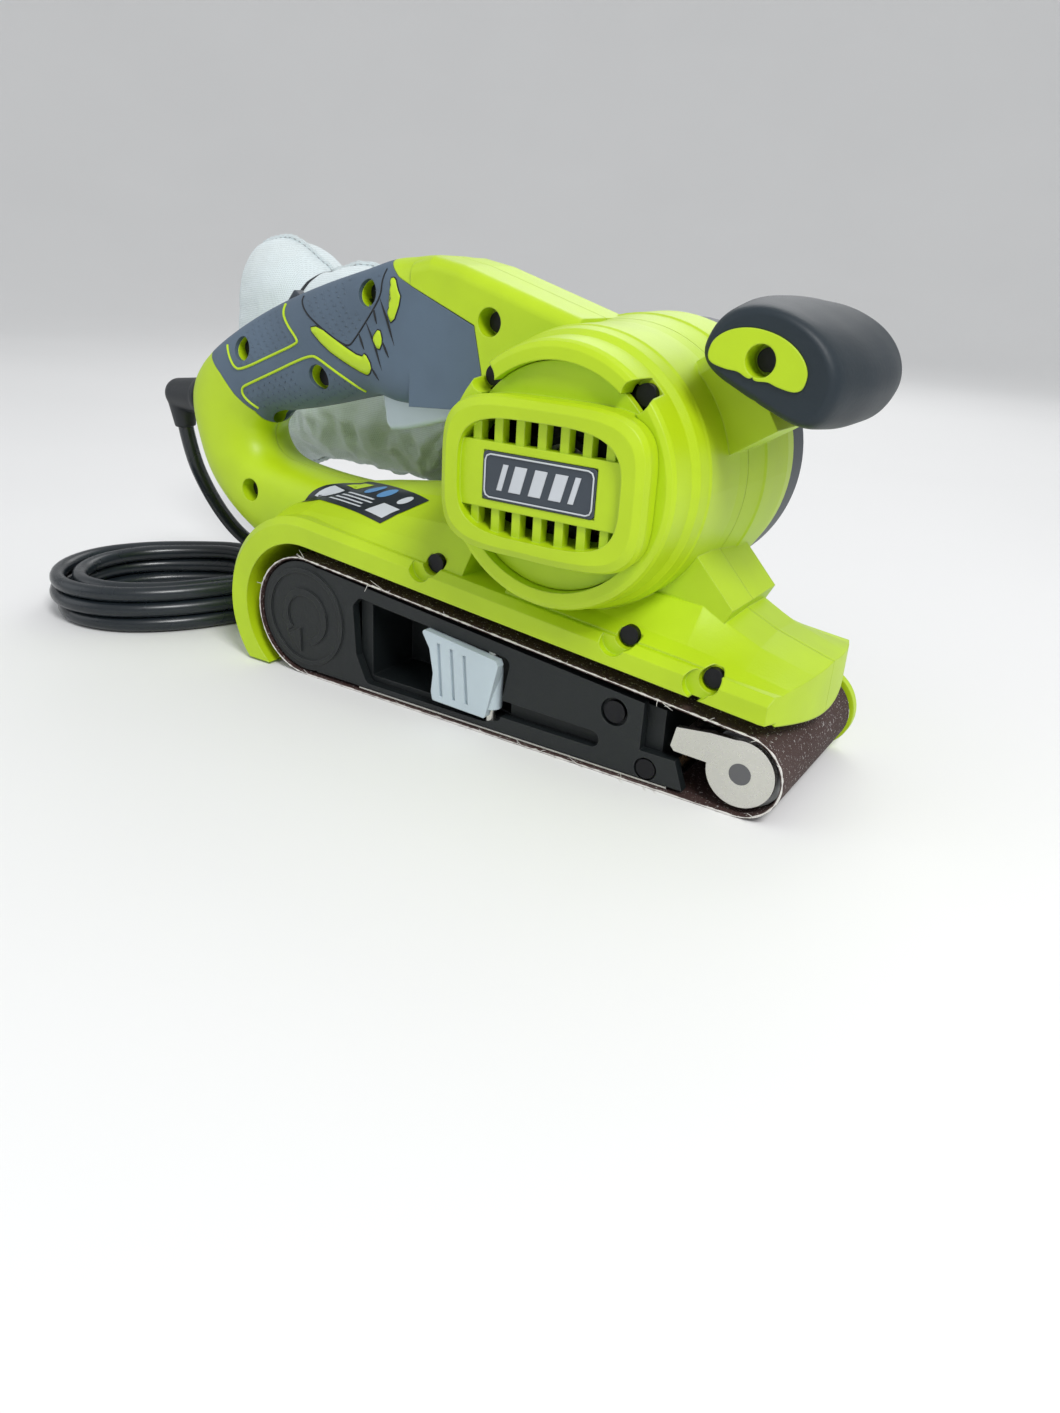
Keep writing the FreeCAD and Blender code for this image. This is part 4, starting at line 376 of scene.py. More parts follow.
LOOKS = {
    LIME: ["right_housing", "left_housing", "vent_cap", "front_handle_core"],
    OVERMOULD: ["right_grip_skin", "left_grip_skin"],
    GRIP_RUBBER: ["front_grip"],
    # main_frame is black as painted shade: it fills the dark inside of the finger window.
    BLACK: ["side_frame", "tracking_knob", "switch_block", "main_frame",
            "drive_pulley", "dust_fan", "brush_bracket"],
    DARK: ["drive_cover", "dust_port", "cable_clamp", "emblem_plate", "lock_button"],
    GREY: ["tension_lever", "trigger", "filter_block"],
    RUBBER: ["bag_collar", "roller_sleeve", "toothed_belt"],
    STEEL: ["cover_screws", "idler_yoke", "platen",
            "motor_bearings", "roller_bearing", "motor_pulley", "armature_shaft", "drive_shaft", "lever_pin",
            "trigger_pin", "tension_spring", "brush_springs"],
    DARK_STEEL: ["idler_axle", "armature_core", "field_core"],
    # Screws take the near-black steel: painted shade of deep recesses.
    RECESS_SHADE_STEEL: ["housing_screws", "frame_screws", "front_handle_screw"],
    ALLOY: ["gear_plate", "idler_roller", "drive_roller"],
    BRASS: ["plug_blades", "brush_holders"],
    COPPER: ["armature_windings", "field_windings", "commutator"],
    CARBON: ["carbon_brushes"],
    CORK: ["cork_pad"],
    GRIT: ["sanding_belt"],
}


def dress_nodes():
    """Gives every frame node its material."""
    for material, names in LOOKS.items():
        for name in names:
            mesh = NODES[name].data
            mesh.materials.clear()
            mesh.materials.append(material)


dress_nodes()


# ---------------------------------------------------------------- cord

CORD_RADIUS = 3.6 * MM
DROP = [(-213.0, 1.5, 89.0), (-212.8, 4.0, 74.0), (-212.0, 11.0, 57.0), (-210.0, 19.0, 42.0),
        (-206.0, 27.0, 30.0), (-199.0, 36.0, 22.6)]
TAIL = [(-166.0, 18.0, 4.0), (-157.0, 38.0, 4.0), (-151.0, 64.0, 4.0), (-141.0, 88.0, 4.0),
        (-123.0, 102.0, 4.2), (-104.3, 104.0, 7.0)]
LOOP = [(-168.0, 16.0), (-175.0, -10.0), (-187.0, -36.0), (-206.0, -55.5), (-231.0, -60.0), (-252.0, -45.0),
        (-260.0, -20.0), (-252.0, 3.0), (-236.0, 21.0), (-217.5, 36.5), (-197.0, 45.0), (-177.0, 38.0)]
# Each turn of the coil: how far outside the loop it lies, its height, and how far it fans out
# at the open end.
TURNS = [(-4.0, 18.2, -1.5), (-4.0, 11.0, 1.0), (-3.6, 3.9, -2.5), (4.0, 3.9, -1.5), (4.2, 11.1, 2.0),
         (4.0, 18.3, 0.5)]


def loop_point(index, outward, height):
    """A point beside the coil's middle line."""
    here = Vector(LOOP[index % 12])
    before, after = Vector(LOOP[(index - 1) % 12]), Vector(LOOP[(index + 1) % 12])
    along = (after - before).normalized()
    away = Vector((-along.y, along.x))
    return (here.x + away.x * outward, here.y + away.y * outward, height)


def coil_points():
    """Control points of all turns, starting where the drop lands."""
    points = []
    first = 10
    for turn, (outward, height, fan) in enumerate(TURNS):
        for step in range(12):
            index = (first + step) % 12
            open_end = max(0.0, math.cos((index - 5) * math.pi / 6))
            drift = 0.5 * math.sin(1.9 * turn + 0.9 * index)
            points.append(loop_point(index, outward + fan * open_end + drift, height))
    return points


def make_cord():
    """One smooth spline: down from the sleeve, round the coil, along the floor to the plug."""
    curve = bpy.data.curves.new("power_lead", "CURVE")
    curve.dimensions = "3D"
    curve.bevel_depth = CORD_RADIUS
    curve.bevel_resolution = 5
    curve.resolution_u = 6
    curve.use_fill_caps = True
    route = DROP[:-1] + [(-200.0, 33.0, 24.0), (-190.0, 36.0, 20.0)] + coil_points()[1:]
    route += [(-183.0, 50.0, 15.0), (-168.0, 52.0, 7.0)]
    route += TAIL[2:]
    spline = curve.splines.new("NURBS")
    spline.points.add(len(route) - 1)
    for point, place in zip(spline.points, route):
        point.co = (*(c * MM for c in place), 1.0)
    spline.order_u = 3
    spline.use_endpoint_u = True
    thing = bpy.data.objects.new("power_lead", curve)
    bpy.context.collection.objects.link(thing)
    curve.materials.append(CORD)
    placed(thing, "machine")
    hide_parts("power_cord", "cord_coil", "cord_tail")
    return thing


def make_plug():
    """Moulded two-blade plug: waisted body with finger ridges and a tapered tail."""
    rings = []
    profile = [(-112.0, 4.3, 4.3), (-108.0, 4.8, 4.8), (-104.5, 5.6, 5.4), (-102.5, 8.6, 7.2),
               (-99.0, 10.8, 8.0), (-93.0, 11.3, 8.1), (-88.0, 11.0, 7.8), (-83.0, 11.8, 8.1),
               (-78.0, 12.6, 8.4), (-75.2, 12.6, 8.4), (-74.1, 11.8, 7.7)]
    centre_y, centre_z = 104.0, 9.0
    sides = 36
    for x, half_width, half_height in profile:
        ring = []
        for side in range(sides):
            angle = 2 * math.pi * side / sides
            c, s = math.cos(angle), math.sin(angle)
            power = 2 / 3.2
            y = centre_y + half_width * math.copysign(abs(c) ** power, c)
            z = centre_z + half_height * math.copysign(abs(s) ** power, s)
            ring.append(Vector((x, y, z)) * MM)
        rings.append(ring)
    plug = solid("mains_plug", *skin_rings(rings), RUBBER)
    plug.modifiers.new("smooth", "SUBSURF").render_levels = 1
    placed(plug, "machine")
    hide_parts("plug_body")
    ridges = []
    for k in range(5):
        ridges.append((-96.0 + 3.2 * k, 11.9 if k in (0, 4) else 12.2))
    points, faces = [], []
    for x, reach in ridges:
        for side in (-1, 1):
            y = centre_y + side * (reach - 0.6)
            line = [Vector((x, y, centre_z + z)) * MM for z in (-5, -2.5, 0, 2.5, 5)]
            radii = [radius * MM for radius in (0.3, 0.9, 1, 0.9, 0.3)]
            ring_points, ring_faces = skin_rings(tube_rings(line, radii, 8))
            faces += [tuple(len(points) + k for k in face) for face in ring_faces]
            points += ring_points
    return plug, placed(solid("plug_ridges", points, faces, RUBBER), "machine")


def make_sleeve():
    """Rubber elbow where the cord leaves the handle, fused from tapered pieces and smoothed."""
    made = bmesh.new()

    def cone(start, end, first, last):
        axis = end - start
        turn = axis.to_track_quat("Z", "Y").to_matrix().to_4x4()
        bmesh.ops.create_cone(made, cap_ends=True, segments=48, radius1=first, radius2=last,
                              depth=axis.length, matrix=Matrix.Translation((start + end) / 2) @ turn)

    root, elbow = Vector((-190.0, 0, 104.2)) * MM, Vector((-213.0, 0.2, 103.4)) * MM
    mouth = Vector((-213.0, 1.7, 88.2)) * MM
    cone(Vector((-178.5, 0, 104)) * MM, root, 5.0 * MM, 5.0 * MM)
    cone(Vector((-195.0, 0, 104.1)) * MM, elbow, 8.7 * MM, 7.3 * MM)
    bmesh.ops.create_uvsphere(made, u_segments=40, v_segments=24, radius=7.3 * MM,
                              matrix=Matrix.Translation(elbow))
    cone(elbow, mouth, 6.9 * MM, 4.9 * MM)
    cone(Vector((-197.2, 0, 104.1)) * MM, Vector((-194.2, 0, 104.1)) * MM, 8.9 * MM, 9.3 * MM)
    mesh = bpy.data.meshes.new("bend_sleeve")
    made.to_mesh(mesh)
    made.free()
    thing = show("bend_sleeve", mesh, RUBBER)
    remesh = thing.modifiers.new("fuse", "REMESH")
    remesh.mode = "VOXEL"
    remesh.voxel_size = 0.55 * MM
    remesh.use_smooth_shade = True
    smooth = thing.modifiers.new("soften", "SMOOTH")
    smooth.factor, smooth.iterations = 0.6, 8
    placed(thing, "machine")
    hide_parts("cord_sleeve")
    return thing


power_lead = make_cord()
plug, plug_ridges = make_plug()
make_sleeve()


# ---------------------------------------------------------------- details on the housings

def search_tree(*names):
    """Search tree over frame nodes, for laying details on their surfaces."""
    points, faces = [], []
    for name in names:
        mesh = NODES[name].data
        base = len(points)
        points += [v.co.copy() for v in mesh.vertices]
        faces += [[base + k for k in polygon.vertices] for polygon in mesh.polygons]
    return BVHTree.FromPolygons(points, faces)


SIDE_TREES = {NEAR: search_tree("right_grip_skin", "right_housing"),
              FAR: search_tree("left_grip_skin", "left_housing")}


def on_side(x, z, side):
    """Surface point and outward normal of the housing at x, z on one side."""
    hit, normal, _, _ = SIDE_TREES[side].ray_cast(Vector((x, side * 0.2, z)), Vector((0, -side, 0)))
    if hit is None:
        return None, None
    if normal.y * side < 0:
        normal = -normal
    return hit, normal


def flat(pairs):
    """Outline in metres from pairs in millimetres: across and up."""
    return [Vector((x, z)) * MM for x, z in pairs]


def laid(outline, side, lift):
    """Points of an outline on the housing, lifted along the surface's normal."""
    out = []
    for point in outline:
        place, normal = on_side(point.x, point.y, side)
        if place is not None:
            out.append(place + normal * lift)
    return out


def bead(outline, side, radius, lift, closed=False, taper=False):
    """Thin cord of material laid along the surface."""
    line = laid(spaced_line(outline, 1.2 * MM, closed), side, lift)
    count = len(line)
    radii = [radius] * count
    if taper:
        radii = [radius * (0.15 + 0.85 * math.sin(math.pi * (k + 0.5) / count)) for k in range(count)]
    return skin_rings(tube_rings(line, radii, 8, closed), closed)


def inlay(outline, side, lift):
    """Raised patch of the given outline, following the surface, as points and faces."""
    made = bmesh.new()
    ring = [made.verts.new((p.x, 0, p.y)) for p in spaced_line(outline, 1.0 * MM, True)]
    face = made.faces.new(ring)
    bmesh.ops.triangulate(made, faces=[face])
    for _ in range(3):
        long_edges = [e for e in made.edges if e.calc_length() > 2.2 * MM and not e.is_boundary]
        bmesh.ops.subdivide_edges(made, edges=long_edges, cuts=1)
        bmesh.ops.triangulate(made, faces=made.faces[:])
    made.verts.ensure_lookup_table()
    made.verts.index_update()
    rims = [v.index for v in made.verts if v.is_boundary]
    top, low = [], {}
    for vert in made.verts:
        place, normal = on_side(vert.co.x, vert.co.z, side)
        if place is None:
            place, normal = Vector((vert.co.x, side * 19 * MM, vert.co.z)), Vector((0, side, 0))
        edge = 0.55 if vert.is_boundary else 1.0
        top.append(place + normal * lift * edge)
        if vert.is_boundary:
            low[vert.index] = place - normal * 0.4 * MM
    points = list(top)
    below = {}
    for index in rims:
        below[index] = len(points)
        points.append(low[index])
    faces = [tuple(v.index for v in f.verts) for f in made.faces]
    for edge in made.edges:
        if edge.is_boundary:
            a, b = (v.index for v in edge.verts)
            faces.append((a, b, below[b], below[a]))
    made.free()
    return points, faces


def gathered(name, parts, material, body, smooth=True):
    """One object from several sets of points and faces."""
    points, faces = [], []
    for part_points, part_faces in parts:
        faces += [tuple(len(points) + k for k in face) for face in part_faces]
        points += part_points
    thing = solid(name, points, faces, material, smooth)
    made = bmesh.new()
    made.from_mesh(thing.data)
    bmesh.ops.recalc_face_normals(made, faces=made.faces[:])
    made.to_mesh(thing.data)
    made.free()
    return placed(thing, body)


REAR_PATCH = flat([(-129.6, 149.3), (-128.4, 146.0), (-124.7, 142.3), (-117.8, 136.6), (-118.9, 134.9),
                   (-132.3, 129.5), (-152.8, 121.2), (-156.6, 122.2), (-159.5, 125.6), (-162.8, 130.4)])
LOWER_PATCH = flat([(-147.6, 105.6), (-151.4, 108.9), (-153.2, 111.4), (-152.6, 113.9), (-150.2, 115.3),
                    (-133.0, 122.3), (-116.7, 129.2), (-110.2, 131.2), (-107.1, 130.7), (-99.7, 127.1),
                    (-91.4, 123.0), (-86.0, 119.6)])
UPPER_PATCH = flat([(-119.2, 153.2), (-118.4, 151.0), (-113.1, 146.7), (-106.1, 143.0), (-98.6, 139.3),
                    (-92.0, 137.0), (-89.7, 137.0), (-87.6, 138.2), (-76.2, 151.1), (-72.2, 157.1),
                    (-72.3, 161.8), (-71.2, 166.0)])
UPPER_FIELD = UPPER_PATCH + flat([(-84.0, 165.0), (-104.0, 160.0)])
REAR_FIELD = REAR_PATCH + flat([(-150.0, 141.5), (-138.0, 147.5)])
LOWER_FIELD = LOWER_PATCH + flat([(-100.0, 113.4), (-124.0, 107.0), (-140.0, 103.6)])
HOOK = flat([(-111.8, 141.8), (-106.1, 143.0), (-93.7, 137.2), (-82.8, 133.1), (-80.7, 135.4), (-77.1, 130.4),
             (-79.2, 127.0), (-81.9, 126.7), (-91.8, 130.1), (-102.5, 134.7)])
BOOMERANG = flat([(-68.3, 162.9), (-65.5, 163.3), (-64.0, 159.6), (-62.0, 156.2), (-66.3, 146.2),
                  (-69.1, 150.7), (-66.4, 155.1), (-66.9, 158.2)])
DIAMOND = flat([(-76.9, 140.8), (-72.8, 145.3), (-71.1, 140.1), (-73.2, 136.2)])
SLASHES = [[(-73.0, 155.8), (-69.1, 148.4), (-65.4, 139.1)], [(-76.2, 152.0), (-74.4, 146.2)],
           [(-71.4, 140.1), (-68.2, 134.6)], [(-80.5, 147.1), (-75.6, 138.9), (-71.9, 129.3)],
           [(-84.2, 142.3), (-81.3, 136.2)], [(-77.9, 130.2), (-74.2, 125.4)]]
SCREW_PLACES = flat([(-157.0, 129.5), (-113.0, 122.6), (-85.0, 156.7)])


def star(place, normal, size):
    """Small three-armed raised mark of the grip's texture."""
    across = Vector((0, 0, 1)).cross(normal).normalized()
    up = normal.cross(across)
    centre = place + normal * 0.32 * MM
    points, faces = [centre], []
    for arm in range(3):
        angle = math.pi / 2 + arm * 2 * math.pi / 3
        out = across * math.cos(angle) + up * math.sin(angle)
        wide = normal.cross(out)
        base = len(points)
        points += [place + wide * size * 0.26, place + out * size, place - wide * size * 0.26]
        faces += [(0, base, base + 1), (0, base + 1, base + 2)]
    return points, faces


def grip_texture(side):
    """Rows of small stars over the three textured fields of one side."""
    stars = []
    for field, rise in ((REAR_FIELD, 0.42), (LOWER_FIELD, 0.42), (UPPER_FIELD, 0.42)):
        for row in range(-20, 60):
            for column in range(60):
                x = (-170 + column * 3.6 + (row % 2) * 1.8) * MM
                z = (96 + row * 2.5 + (x / MM + 170) * rise) * MM
                by_screw = any((Vector((x, z)) - s).length < 7 * MM for s in SCREW_PLACES)
                if by_screw or not inside(x, z, field):
                    continue
                edge = min((Vector((x, z)) - p).length for p in spaced_line(field, 2 * MM, True))
                place, normal = on_side(x, z, side)
                if edge > 1.7 * MM and place is not None:
                    stars.append(star(place, normal, 1.25 * MM))
    return stars


def dress_handle(side):
    tag = "near" if side == NEAR else "far"
    piping = [bead(rounded(patch, 2, False), side, 0.55 * MM, 0.1 * MM)
              for patch in (REAR_PATCH, LOWER_PATCH)]
    gathered(f"grip_piping_{tag}", piping, INSET_LIME, "machine")
    marks = [inlay(rounded(outline, 1), side, 0.5 * MM) for outline in (HOOK, BOOMERANG, DIAMOND)]
    gathered(f"grip_inlays_{tag}", marks, INSET_LIME, "machine")
    # Thin dark beads along the slashes and round the inlays: painted shade of the grooves.
    groove_shades = [bead(flat(line), side, 0.55 * MM, -0.1 * MM, taper=True) for line in SLASHES]
    groove_shades.append(bead(rounded(UPPER_PATCH, 2, False), side, 0.35 * MM, 0.0))
    for outline in (HOOK, BOOMERANG, DIAMOND):
        groove_shades.append(bead(rounded(outline, 1), side, 0.35 * MM, 0.0, closed=True))
    gathered(f"grip_grooves_{tag}", groove_shades, GROOVE_SHADE, "machine")
    gathered(f"grip_stars_{tag}", grip_texture(side), OVERMOULD, "machine", smooth=False)


for handle_side in (NEAR, FAR):
    dress_handle(handle_side)


# ---------------------------------------------------------------- dust bag

BAG_SIDES = 96
BAG_TOP, BAG_BOTTOM = BAG_SIDES // 4, 3 * BAG_SIDES // 4
SEAM_START = 20
# x, y and z of the middle, half width and half height of the filled bag, from the collar to its rear seam.
BAG_FORM = [(-77.0, 52.0, 112.0, 18.9, 18.9), (-83.0, 52.6, 112.0, 19.2, 19.6),
            (-87.0, 57.0, 112.5, 21.5, 26.0), (-94.0, 63.0, 113.0, 25.5, 35.5),
            (-107.0, 71.5, 114.5, 29.0, 43.5), (-125.0, 77.5, 115.5, 31.5, 46.0),
            (-150.0, 81.5, 116.0, 33.0, 46.5), (-172.0, 83.0, 116.5, 34.0, 46.8),
            (-184.0, 83.5, 116.0, 33.5, 45.0), (-193.0, 84.0, 116.5, 31.8, 45.5),
            (-205.0, 84.0, 119.0, 33.0, 51.0), (-218.0, 84.0, 121.0, 31.0, 53.5),
            (-231.0, 84.0, 121.5, 26.0, 52.5), (-241.0, 84.0, 120.0, 18.0, 49.0),
            (-247.5, 84.0, 118.5, 9.0, 44.5), (-249.0, 84.0, 118.0, 3.0, 40.0)]


def eased(stations, steps):
    """Smooth stations between the given ones."""
    out = []
    last = len(stations) - 1
    for index in range(last):
        near = [stations[max(0, min(last, index + shift))] for shift in (-1, 0, 1, 2)]
        for step in range(steps):
            t = step / steps
            weights = (-t + 2 * t ** 2 - t ** 3, 2 - 5 * t ** 2 + 3 * t ** 3, t + 4 * t ** 2 - 3 * t ** 3,
                       -t ** 2 + t ** 3)
            out.append([sum(w * s[k] for w, s in zip(weights, near)) / 2 for k in range(len(near[0]))])
    out.append(list(stations[last]))
    return out


def crease(x, y, z):
    """Depth of the cloth's folds in millimetres: soft above, crumpled below."""
    slack = max(0.0, min(1.0, (132.0 - z) / 42.0))
    soft = noise.noise(Vector((x / 38, y / 30, z / 34)))
    lines = 1 - 2.4 * abs(noise.noise(Vector((x / 15 + z / 40, y / 13, z / 11 - x / 60))))
    small = 1 - 2.4 * abs(noise.noise(Vector((x / 7 + 9, y / 7, z / 6))))
    return 2.6 * soft + (0.5 + 2.6 * slack) * lines + (0.15 + 0.9 * slack) * small


def bag_rings():
    """Rings of the bag with its folds, its gathers at the collar and the fold across its top."""
    rings = []
    for x, y, z, wide, tall in eased(BAG_FORM, 8):
        ring = []
        held = max(0.0, min(1.0, (-84.0 - x) / 16.0)) * max(0.0, min(1.0, (x + 249.0) / 8.0))
        gather = max(0.0, 1 - abs(x + 91.0) / 13.0)
        for side in range(BAG_SIDES):
            angle = 2 * math.pi * side / BAG_SIDES
            c, s = math.cos(angle), math.sin(angle)
            power = 2 / (2.0 + 0.35 * held)
            out_y = wide * math.copysign(abs(c) ** power, c)
            out_z = tall * math.copysign(abs(s) ** power, s)
            here = Vector((x, y + out_y, z + out_z))
            away = Vector((0, c, s))
            depth = held * crease(*here) + 1.3 * gather * math.cos(17 * angle + 2 * noise.noise(here / 20))
            fold = max(0.0, 1 - abs(x + 190.0 + 0.16 * (here.z - 160.0)) / 3.5)
            depth -= 1.8 * fold * max(0.0, s)
            ring.append((here + away * depth) * MM)
        rings.append(ring)
    return rings


def make_bag():
    """Cotton dust bag: one gathered, crumpled shell with a stitched seam round its outline."""
    rings = bag_rings()
    bag = solid("cotton_bag", *skin_rings(rings), BAG_CLOTH)
    bag.modifiers.new("smooth", "SUBSURF").render_levels = 1
    placed(bag, "bag")
    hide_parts("dust_bag")
    line = [ring[BAG_TOP] for ring in rings[SEAM_START:]]
    line += [ring[BAG_BOTTOM] for ring in reversed(rings[SEAM_START:])]
    middle = Vector((-170.0, 80.0, 117.0)) * MM
    ribbon, stitches = [], []
    for before, here, after in zip(line, line[1:], line[2:]):
        along = (after - before).normalized()
        away = along.cross(Vector((0, 1, 0))).normalized()
        if away.dot(here - middle) < 0:
            away = -away
        ripple = 0.25 * MM * math.sin(here.x / MM * 1.9 + here.z / MM)
        thick = Vector((0, 0.55, 0)) * MM
        ribbon.append([here - away * 1.0 * MM + thick, here + away * 1.9 * MM + thick + away * ripple,
                       here + away * 1.9 * MM - thick + away * ripple, here - away * 1.0 * MM - thick])
    edge = solid("bag_seam", *skin_rings(ribbon), BAG_CLOTH)
    placed(edge, "bag")
    path = spaced_line([ring[1].lerp(ring[0], 0.55) for ring in ribbon], 1.0 * MM)
    for index in range(0, len(path) - 3, 4):
        run = [p + Vector((0, -0.35, 0)) * MM for p in path[index:index + 3]]
        stitches.append(skin_rings(tube_rings(run, [0.22 * MM, 0.34 * MM, 0.22 * MM], 6)))
        stitches.append(skin_rings(tube_rings([p + Vector((0, -0.65, 0)) * MM for p in run],
                                              [0.22 * MM, 0.34 * MM, 0.22 * MM], 6)))
    gathered("bag_stitches", stitches, SEAM_THREAD, "bag")
    make_bag_trim(rings)


def make_bag_trim(rings):
    """Elastic hem over the collar, dark line along the fold across the top, and a folded tag on the rear
    seam.
    """
    mouth = Vector((-77, 52, 112)) * MM
    hem = []
    for ring in (rings[0], rings[7]):
        line = [p + (p - mouth).normalized() * 0.3 * MM for p in ring]
        hem.append(skin_rings(tube_rings(line, [1.1 * MM] * BAG_SIDES, 8, True), True))
    gathered("bag_hem", hem, BAG_CLOTH, "bag")
    # Dark tube laid along the fold across the top of the bag.
    crossing = min(rings, key=lambda ring: abs(ring[BAG_TOP].x + 190 * MM))
    line = crossing[8:42]
    seam = skin_rings(tube_rings(line, [0.9 * MM] * len(line), 8))
    gathered("bag_cross_seam", [seam], RUBBER, "bag")
    corner = Vector((-245.5, 84.0, 158.0)) * MM
    tag = []
    for shift in (-0.7, 0.7):
        outline = [(-5.5, -5), (1, -6.5), (2.5, 4.5), (-4.0, 6)]
        front = [corner + Vector((x, shift - 0.3, z)) * MM for x, z in outline]
        back = [corner + Vector((x, shift + 0.3, z)) * MM for x, z in outline]
        tag.append(skin_rings([front, back]))
    gathered("bag_tag", tag, TAG_CLOTH, "bag", smooth=False)


make_bag()


# ---------------------------------------------------------------- label and emblem

LABEL_CORNERS = [(-118.0, -19.0), (-66.0, -28.0), (-52.0, -14.0), (-95.0, -1.0)]
TOP_TREE = search_tree("right_housing", "left_housing")


def on_top(u, v, lift):
    """Point of the label's curved rectangle, u along it and v across it."""
    a, b, c, d = (Vector(corner) for corner in LABEL_CORNERS)
    flat_place = a.lerp(b, u).lerp(d.lerp(c, u), v) * MM
    place, normal, _, _ = TOP_TREE.ray_cast(Vector((flat_place.x, flat_place.y, 0.094)), Vector((0, 0, -1)))
    if place is None:
        return Vector((flat_place.x, flat_place.y, 0.078))
    return place + (normal if normal.z > 0 else -normal) * lift


def label_patch(low_u, low_v, high_u, high_v, lift, cells=10):
    """Thin printed rectangle that follows the housing."""
    top = [[on_top(low_u + (high_u - low_u) * i / cells, low_v + (high_v - low_v) * k / cells, lift)
            for i in range(cells + 1)] for k in range(cells + 1)]
    points = [p for row in top for p in row]
    wide = cells + 1
    faces = [(k * wide + i, k * wide + i + 1, (k + 1) * wide + i + 1, (k + 1) * wide + i)
             for k in range(cells) for i in range(cells)]
    return points, faces


def label_disc(u, v, radius, lift):
    """Printed dot of the label."""
    points = [on_top(u, v, lift)]
    for k in range(24):
        angle = k * math.pi / 12
        points.append(on_top(u + radius * math.cos(angle) * 0.33, v + radius * math.sin(angle), lift))
    return points, [(0, 1 + k, 1 + (k + 1) % 24) for k in range(24)]


def make_label():
    """Plain rating label: a dark card with blank fields, dots and rules, and no writing."""
    gathered("rating_label", [label_patch(0, 0, 1, 1, 0.25 * MM, 16)], CARD, "machine")
    pale = [label_patch(0.05, 0.16, 0.20, 0.46, 0.4 * MM, 4),
            label_patch(0.74, 0.12, 0.95, 0.48, 0.4 * MM, 4)]
    for row in range(4):
        end = 0.66 - 0.05 * (row % 2)
        pale.append(label_patch(0.26, 0.14 + 0.1 * row, end, 0.18 + 0.1 * row, 0.4 * MM, 6))
    pale.append(label_disc(0.84, 0.74, 0.15, 0.4 * MM))
    gathered("label_fields", pale, PRINT, "machine")
    blue = [label_disc(0.40, 0.74, 0.18, 0.4 * MM), label_disc(0.58, 0.74, 0.18, 0.4 * MM)]
    gathered("label_dots", blue, BLUE_PRINT, "machine")
    mark = [label_patch(0.08, 0.60, 0.24, 0.88, 0.4 * MM, 4)]
    gathered("label_mark", mark, INSET_LIME, "machine")


def make_emblem():
    """Abstract slanting bars and a thin border on the plate of the motor cap."""
    low, high = (Vector(corner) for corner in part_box("emblem_plate"))
    face = low.y - 0.25 * MM
    middle_z, half = (low.z + high.z) / 2, (high.z - low.z) / 2
    bars = []
    for start_share, width in ((0.16, 2.0), (0.27, 4.6), (0.45, 4.6), (0.63, 4.6), (0.80, 2.0)):
        x = low.x + (high.x - low.x) * start_share
        outline = [(x - 1.2 * MM, -0.55 * half), (x - 1.2 * MM + width * MM, -0.55 * half),
                   (x + 1.2 * MM + width * MM, 0.55 * half), (x + 1.2 * MM, 0.55 * half)]
        bars.append(skin_rings([[Vector((a, y, middle_z + b)) for a, b in outline]
                                for y in (face, face + 0.5 * MM)]))
    gathered("emblem_bars", bars, PRINT, "machine", smooth=False)
    inset = 0.9 * MM
    left, right, bottom, top = low.x + inset, high.x - inset, low.z + inset, high.z - inset
    turn = 2.0 * MM
    rim = [Vector((x, face, z)) for x, z in
           ((left + turn, bottom), (right - turn, bottom), (right - 0.3 * turn, bottom + 0.3 * turn),
            (right, bottom + turn), (right, top - turn), (right - 0.3 * turn, top - 0.3 * turn),
            (right - turn, top), (left + turn, top), (left + 0.3 * turn, top - 0.3 * turn),
            (left, top - turn), (left, bottom + turn), (left + 0.3 * turn, bottom + 0.3 * turn))]
    line = spaced_line(rim, 1.5 * MM, True)
    gathered("emblem_border", [skin_rings(tube_rings(line, [0.3 * MM] * len(line), 6, True), True)], PRINT,
             "machine")


make_label()
make_emblem()


# ---------------------------------------------------------------- belt edges

def belt_line(step, grow=0.0):
    """Outline of the belt's outer face in the plane of the rollers."""
    rear, nose = Vector((-100.0, 0, 26.3)), Vector((100.0, 0, 15.8))
    big, little = 26.3 + grow, 15.8 + grow
    gap = (nose - rear).length
    lean = math.atan2(nose.z - rear.z, nose.x - rear.x)
    spread = math.acos((big - little) / gap)
    corners = []
    for middle, radius, first, last in ((rear, big, lean + spread, lean - spread + 2 * math.pi),
                                        (nose, little, lean - spread, lean + spread)):
        count = max(8, round(radius * abs(last - first) / step))
        for k in range(count + 1):
            angle = first + (last - first) * k / count
            corners.append((middle + Vector((math.cos(angle), 0, math.sin(angle))) * radius) * MM)
    return spaced_line(corners, step * MM, True)


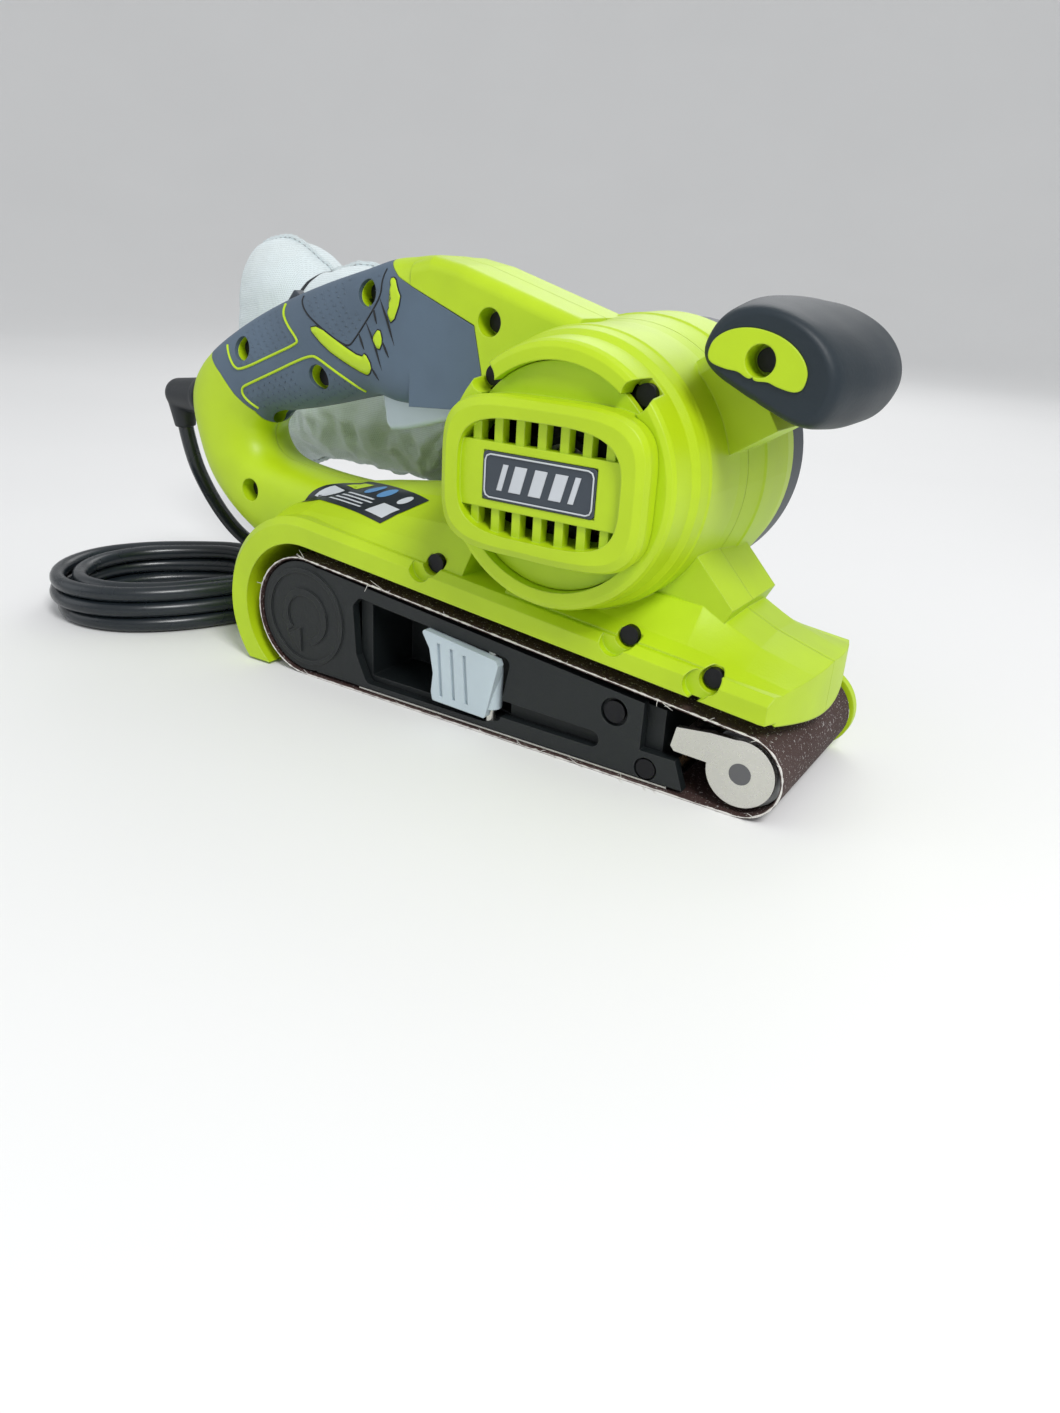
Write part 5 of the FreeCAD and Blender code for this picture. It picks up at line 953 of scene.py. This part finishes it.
def fray_belt():
    """White backing cloth showing along both edges of the belt, with a few loose fibres on the near one."""
    chance = random.Random(7)
    for side, tag in ((NEAR, "near"), (FAR, "far")):
        line = [p + Vector((0, side * 37.9, 0)) * MM for p in belt_line(1.5, -0.35)]
        radii = [(0.18 + 0.30 * chance.random()) * MM for _ in line]
        strands = [skin_rings(tube_rings(line, radii, 6, True), True)]
        for _ in range(70 if side == NEAR else 20):
            root = chance.choice(line)
            way = Vector((chance.uniform(-1, 1), side * chance.uniform(0.2, 0.9), chance.uniform(-0.4, 1)))
            reach = chance.uniform(1.2, 4.5) * MM
            bend = Vector((chance.uniform(-1, 1), 0, chance.uniform(-1, 1))) * reach * 0.4
            path = [root + way * reach * t + bend * t * t for t in (0, 0.35, 0.7, 1)]
            path = [Vector((p.x, p.y, max(p.z, 0.3 * MM))) for p in path]
            strands.append(skin_rings(tube_rings(path, [0.14 * MM, 0.12 * MM, 0.1 * MM, 0.05 * MM], 5)))
        gathered(f"belt_fray_{tag}", strands, FRAY, "belt")


fray_belt()


# ---------------------------------------------------------------- stage and light

def area_light(name, place, target, size, power, colour=(1, 1, 1)):
    data = bpy.data.lights.new(name, "AREA")
    data.shape = "DISK"
    data.size = size
    data.energy = power
    data.color = colour
    thing = bpy.data.objects.new(name, data)
    thing.location = place
    thing.rotation_euler = (Vector(target) - Vector(place)).to_track_quat("-Z", "Y").to_euler()
    bpy.context.collection.objects.link(thing)


def make_stage():
    """Pale floor that curves up into a low wall all round, and soft light, mostly from the right."""
    material, tree, shader, place = start("pale_floor")
    soft = noise_of(tree, place, 3, 2)
    tint = blend_colours(tree, soft, (0.80, 0.80, 0.80), (0.84, 0.84, 0.84))
    finish_material(tree, shader, tint, span(tree, soft, 0, 1, 0.75, 0.85), bumps(tree, soft, 0.0001))
    level, floor_reach, wall_reach = -0.1 * MM, 1.8, 3.4
    profile = [(0.02, level), (0.6, level), (1.2, level)]
    for k in range(13):
        angle = k * math.pi / 24
        climb = wall_reach - floor_reach
        profile.append((floor_reach + climb * math.sin(angle), level + climb * (1 - math.cos(angle))))
    rings = [[(radius * math.cos(k * math.pi / 48), radius * math.sin(k * math.pi / 48), height)
              for k in range(96)] for radius, height in profile]
    points, faces = skin_rings(rings)
    solid("floor", points, faces[:-1], material)
    world = bpy.data.worlds.new("studio")
    bpy.context.scene.world = world
    world.use_nodes = True
    background = world.node_tree.nodes["Background"]
    background.inputs["Color"].default_value = (0.97, 0.985, 1.0, 1.0)
    background.inputs["Strength"].default_value = 0.62
    middle = (-0.03, 0.0, 0.08)
    area_light("key", (0.75, -0.55, 1.15), middle, 0.45, 13)
    area_light("fill", (-1.1, -0.9, 0.7), middle, 1.2, 2.5, (0.94, 0.97, 1.0))
    area_light("back", (-0.4, 1.3, 1.0), middle, 1.0, 5)
    bpy.context.scene.view_settings.view_transform = "Standard"


make_stage()
